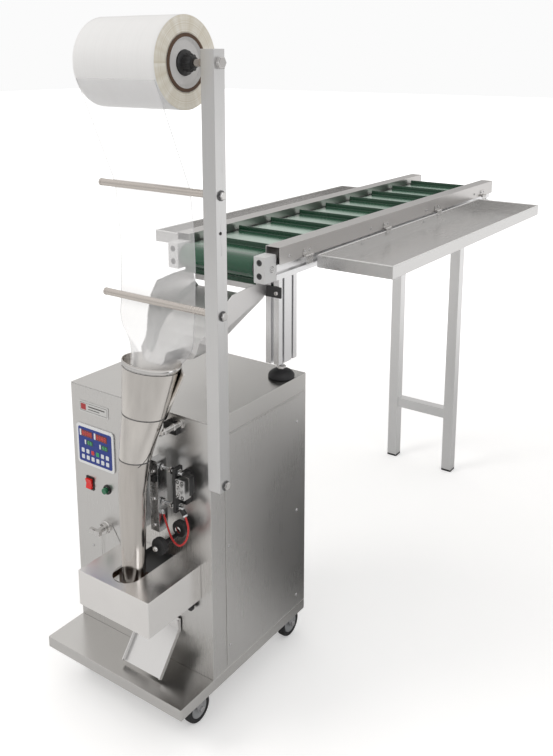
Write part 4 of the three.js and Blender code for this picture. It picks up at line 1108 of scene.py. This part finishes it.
def belt_cleats():
    """Inverted T in section, carried across the belt, at even steps round the closed line."""
    distance = CLEATS["first"] + np.arange(CLEATS["count"]) * LAP / CLEATS["count"]
    section = np.array(CLEAT, float)
    y, z = belt_points(distance[:, None], section[None, :, 0], section[None, :, 1])
    middle_y, middle_z = belt_points(distance[:, None], 0.0, 4.0)
    ring = np.stack([y, z], -1)
    pole = np.repeat(np.stack([middle_y, middle_z], -1), len(section), 1)
    ends = (BELT["x0"] + 3, BELT["x1"] - 3)
    rows = [np.concatenate([np.full((*shape.shape[:2], 1), x), shape], -1) for x, shape in
            ((ends[0], pole), (ends[0], ring), (ends[1], ring), (ends[1], pole))]
    return np.stack(rows, 1)


belt_green = finish("green belt", (0.006, 0.075, 0.034), 0.24, (14, 14, 14), 0.25, 0.00002, 0.05,
                    (0.05, 0.28, 0.16), Coat_Weight=0.6, Coat_Roughness=0.16)
# The cleats take a darker copy of the belt's green: painted shade on the cleats' faces.
shaded_cleat_green = finish("shaded green cleat", (0.003, 0.042, 0.018), 0.26, (14, 14, 14), 0.3, 0.00002, 0.12,
                     (0.05, 0.26, 0.15), Coat_Weight=0.3, Coat_Roughness=0.25)
belt = woven("belt_band", belt_loop(), around=True, along=True)


def painted_sheen_bays(material, piece):
    """Between two cleats the belt gets a painted sheen: a mask that is 1 in the middle of a bay and 0 at
    its cleats and at the belt's edges is stored at each vertex, and blends in a pale green for the
    reflection."""
    points = np.zeros(len(piece.data.vertices) * 3)
    piece.data.vertices.foreach_get("co", points)
    x, y, z = ((points.reshape(-1, 3) - CORNER) * 1000).T
    share = np.mod((y - BELT["front"] - CLEATS["first"]) * CLEATS["count"] / LAP, 1)
    sheen_bay = np.clip((0.5 - np.abs(share - 0.5)) * 5 - 0.75, 0, 1)
    side = np.clip((np.minimum(x - BELT["x0"], BELT["x1"] - x) - 3) / 16, 0, 1)
    top = np.clip((z - BELT["z"] - 26) / 2.5, 0, 1) * np.clip((y - BELT["front"]) / 30, 0, 1)
    layer = piece.data.attributes.new("sheen_bay", "FLOAT", "POINT")
    layer.data.foreach_set("value", sheen_bay * side * top)
    tree = material.node_tree
    skin = skin_of(tree)
    mask = place(tree, "Attribute", {}, attribute_name="sheen_bay").outputs["Fac"]
    patchy_sheen = place(tree, "MapRange", {0: skin.outputs["Cloud"], 1: 0.25, 2: 0.6, 3: 0.6, 4: 0.95})
    amount = place(tree, "Math", {0: mask, 1: patchy_sheen.outputs[0]}, operation="MULTIPLY")
    # Pale green painted sheen, broken up by broad noise: it stands in for the reflection on the bays'
    # tops.
    mixed = place(tree, "Mix", {"Factor": amount.outputs[0], 6: skin.outputs["Colour"],
                                7: (0.50, 0.66, 0.57, 1)}, data_type="RGBA")
    tree.links.new(mixed.outputs[2], tree.nodes["Principled BSDF"].inputs["Base Color"])


painted_sheen_bays(belt_green, belt)
belt = fitted(belt, belt_green, slot="belt_green")
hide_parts("belt")
fitted(woven("belt_cleats", belt_cleats(), around=True), shaded_cleat_green, edge=0.5, slot="belt_green")
dress(["drive_roller", "idler_roller", "belt_bed"], zinc, 0.6)

# ---- Conveyor sides --------------------------------------------------------------------------
# Anodised rails with a groove, white nylon blocks that carry the front roller, folded guards along
# the belt, and side trays on butt hinges. Cap screws hold the blocks, pan-heads the rest.

anodised = finish("anodised profile", (0.84, 0.84, 0.85), 0.28, (900, 8, 900), 0.05, 0.000002, 0.6,
                  Metallic=1.0)
nylon = finish("nylon block", (0.70, 0.70, 0.70), 0.45, (200, 14, 200), 0.05, 0.00004, 0.4)
guard_sheet = finish("guard sheet", (0.66, 0.645, 0.635), 0.31, (900, 9, 900), 0.06, 0.000002, 0.8,
                     Metallic=1.0)
tray_sheet = finish("tray sheet", (0.70, 0.695, 0.69), 0.27, (900, 12, 900), 0.035, 0.000002, 0.9,
                    Metallic=1.0)
dress(["left_rail", "right_rail"], anodised, 0.6)
dress(["left_end_block", "right_end_block"], nylon, 1.2)
dress(["left_guard", "right_guard"], guard_sheet, 0.7)
dress(["left_tray", "right_tray"], tray_sheet, 0.8)

MIDDLE_X = 286
counterbore = [(0, 0.15), (3.4, 0.15), (3.7, 0.5), (6.9, 0.5), (7.6, 0.3), (7.9, 0), (0, 0)]
repeated("block_cap_screws", counterbore, TO_FRONT,
         [(MIDDLE_X + side * 136.5, 228, z) for side in (1, -1) for z in (1103, 1070)], 30,
         arm_black)
fitted(woven("axle_ends", np.stack([turned([(0, 0.2), (4.5, 0.2), (5, 0.8), (8, 0.8), (8, 0), (0, 0)],
             (side, 0, 0), (MIDDLE_X + side * 153, 257, 1084), 28) for side in (1.0, -1.0)]),
             around=True), screw_steel)
fitted(woven("guard_end_plugs", np.stack([plate(oblong(36.8, 40.6, 2), 0, 9)[..., [0, 2, 1]]
             + (MIDDLE_X + side * 142, 1626, 1112.6) for side in (1, -1)]), around=True),
       black_moulding, edge=0.5)

bright_hem = finish("rolled hem", (0.93, 0.93, 0.92), 0.34, (40, 9, 40), 0.05, 0.000002, 0.4,
                    Metallic=0.55)


def tray_hem(x, y, width, length):
    """Folded-over rim: an oval section swept round a rectangle with round corners, square to it."""
    outline = oblong(width, length, 3, 6)
    along = np.roll(outline, -1, 0) - np.roll(outline, 1, 0)
    along /= np.linalg.norm(along, axis=1)[:, None]
    outward = np.column_stack([along[:, 1], -along[:, 0]])
    t = np.linspace(0, 2 * np.pi, 10, endpoint=False)
    flat = outline[:, None] + outward[:, None] * (1.7 * np.cos(t))[None, :, None] + (x, y)
    rise = np.repeat((1088.4 + 1.6 * np.sin(t))[None], len(outline), 0)
    return np.concatenate([flat, rise[..., None]], -1)


HINGES = (394, 814, 1161, 1539)
HINGE = {"x": 170, "z": 1095, "barrel": 4.0}


def side_spots(sign, reach, height, along=HINGES, shifts=(0,)):
    """Places on one side of the belt, so far from its middle, at each place along it."""
    return [(MIDDLE_X + sign * reach, y + shift, height) for y in along for shift in shifts]


def leaf(sign, length, height, radius, thickness):
    """A hinge leaf lying against the guard or tray, facing away from the belt."""
    return plate(oblong(length, height, radius), 0, thickness)[..., [2, 0, 1]] * (sign, 1, 1)


for side, sign in (("right", 1.0), ("left", -1.0)):
    leaf_body = f"{side}_leaf"
    pivot = MIDDLE_X + sign * HINGE["x"]
    knuckle = [(0, -5.2), (HINGE["barrel"], -5.2), (HINGE["barrel"], 5.2), (0, 5.2)]
    fixed = [turned(knuckle, (0, 1, 0), (pivot, y + shift, HINGE["z"]), 24)
             for y in HINGES for shift in (-11.2, 11.2)]
    fitted(woven(f"{side}_fixed_knuckles", np.stack(fixed), around=True), chrome, edge=0.5)
    moving = [turned(knuckle, (0, 1, 0), (pivot, y, HINGE["z"]), 24) for y in HINGES]
    fitted(woven(f"{side}_moving_knuckles", np.stack(moving), around=True), chrome, leaf_body, 0.5)
    fitted(woven(f"{side}_fixed_leaves", stacked(leaf(sign, 34, 17, 2, 1.6),
                                                 side_spots(sign, 163.1, 1105)), around=True),
           chrome, edge=0.4)
    fitted(woven(f"{side}_leaf_folds", stacked(leaf(sign, 30, 5.5, 0.5, 1.5),
                                               side_spots(sign, 164.7, 1096.5)), around=True),
           chrome, edge=0.3)
    fitted(woven(f"{side}_moving_leaves", stacked(leaf(sign, 30, 16, 1.5, 1.4),
                                                  side_spots(sign, 172.1, 1083)), around=True),
           chrome, leaf_body, 0.4)
    small_head = turned(pan_head(3.4, 1.8), (sign, 0, 0), (0, 0, 0), 18)
    large_head = turned(pan_head(4.4, 2.4), (sign, 0, 0), (0, 0, 0), 20)
    for name, head, spots, body in (
            ("hinge_screws", small_head, side_spots(sign, 164.7, 1107, HINGES, (-10, 10)),
             "machine"),
            ("leaf_screws", small_head, side_spots(sign, 173.4, 1082, HINGES, (-9, 9)), leaf_body),
            ("guard_screws", large_head, side_spots(sign, 163.1, 1108, (315, 725, 1080, 1470)),
             "machine"),
            ("rim_screws", large_head, side_spots(sign, 172.1, 1077, (663, 1052, 1446)),
             leaf_body)):
        fitted(woven(f"{side}_{name}", stacked(head, spots), around=True), screw_steel, body)
    hem = tray_hem(MIDDLE_X + sign * 278, 959.5, 213.4, 1052.4)
    fitted(woven(f"{side}_tray_hem", hem, around=True, along=True), bright_hem, leaf_body)

# ---- Conveyor leg ----------------------------------------------------------------------------
# Slotted aluminium profile under the right-hand rail, screwed to it through a dark angle bracket,
# on a rubber levelling foot with a plated nut.

leg_profile = finish("leg profile", (0.82, 0.82, 0.83), 0.26, (900, 900, 8), 0.05, 0.000002, 0.6,
                     Metallic=1.0)
dress(["support_leg"], leg_profile, 0.7)
LEG = {"x": 415, "front": 292, "y": 332}
bracket_grey = finish("bracket", (0.07, 0.07, 0.072), 0.36, (100, 100, 100), 0.3, 0.00004, 0.6,
                      (0.4, 0.4, 0.4), Metallic=0.7)
fitted(woven("leg_bracket", facing_front(plate(oblong(48, 28, 2), 0.2, 3.2), (420, LEG["front"], 1018)),
             around=True), bracket_grey, edge=0.5)
fitted(woven("leg_bracket_bolt", turned(pan_head(6.2, 4.6), (0, -1, 0), (430, LEG["front"] - 3.2, 1016),
                                        26), around=True), chrome, edge=0.3)
foot_profile = [(0, 783.4), (32, 783.4), (33.8, 784.6), (34, 788), (33, 792), (29, 797), (24, 801),
                (17, 803.4), (14, 804.5), (13, 807), (0, 807)]
foot = fitted(woven("foot_pad", turned(foot_profile, (0, 0, 1), (LEG["x"], LEG["y"], 0), 56),
                    around=True), tyre_rubber, edge=0.3, slot="black_rubber")
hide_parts("levelling_foot")
fitted(woven("foot_nut", hexagon(12, 8, (0, 0, 1.0), (LEG["x"], LEG["y"], 807)), around=True),
       chrome, edge=0.5)


def thread():
    """Stem whose radius rises and falls with the height's share of a 1.5 mm pitch."""
    height = np.linspace(806, 828.4, 91)
    radius = 5.2 + 0.45 * np.abs(((height / 1.5) % 1) - 0.5) * 2
    radius[[0, -1]] = 0
    return turned(np.stack([radius, height], -1), (0, 0, 1), (LEG["x"], LEG["y"], 0), 24)


fitted(woven("foot_stem", thread(), around=True), screw_steel)

# ---- Rear stand ------------------------------------------------------------------------------
# Two square stainless tubes with a welded crossbar under the conveyor's far end, on black caps.

stand_tube = finish("stand tube", (0.78, 0.78, 0.78), 0.30, (900, 900, 9), 0.05, 0.000002, 0.8,
                    Metallic=1.0)
dress(["rear_stand"], stand_tube, 1.2)
STAND = {"y": 1553, "x": (125, 361), "crossbar": 233.5, "bead": 19.6}
caps = np.stack([plate(oblong(39.4, 39.4, 3), 0, 7) + (x, STAND["y"], 0.2) for x in STAND["x"]])
fitted(woven("stand_caps", caps, around=True), black_moulding, edge=0.8)


def weld_bead(x, direction):
    """A round-ended bead round the crossbar's end: radius rippled along the seam."""
    outline = oblong(35, 37.6, 3, 6)
    path = np.stack([np.full(len(outline), x), STAND["y"] + outline[:, 0],
                     STAND["crossbar"] + outline[:, 1]], -1)
    away = outline / np.linalg.norm(outline, axis=1)[:, None]
    t = np.linspace(0, 2 * np.pi, 8, endpoint=False)
    ripple = 1.5 + 0.25 * np.sin(np.arange(len(outline)) * 2.4)
    return np.stack([path + ripple[:, None] * np.column_stack(
        [np.full(len(outline), direction * np.cos(a)), away * np.sin(a)]) for a in t], 1)


beads = np.stack([weld_bead(x + inward * STAND["bead"], inward)
                  for x, inward in zip(STAND["x"], (1, -1))])
fitted(woven("stand_welds", beads, around=True, along=True), stand_tube)

# ---- Drive inside the cabinet ----------------------------------------------------------------
# Gear motor and control box, seen only through the openings below: hammered grey paint and a
# moulded case.

hammered = finish("hammered paint", (0.12, 0.145, 0.16), 0.42, (45, 45, 45), 0.35, 0.0006, 0.5,
                  (0.35, 0.35, 0.35))
case_grey = finish("moulded case", (0.24, 0.26, 0.28), 0.5, (300, 300, 300), 0.1, 0.00006, 0.3)
dress(["gear_motor"], hammered, 1.5)
dress(["control_box"], case_grey, 1.5)
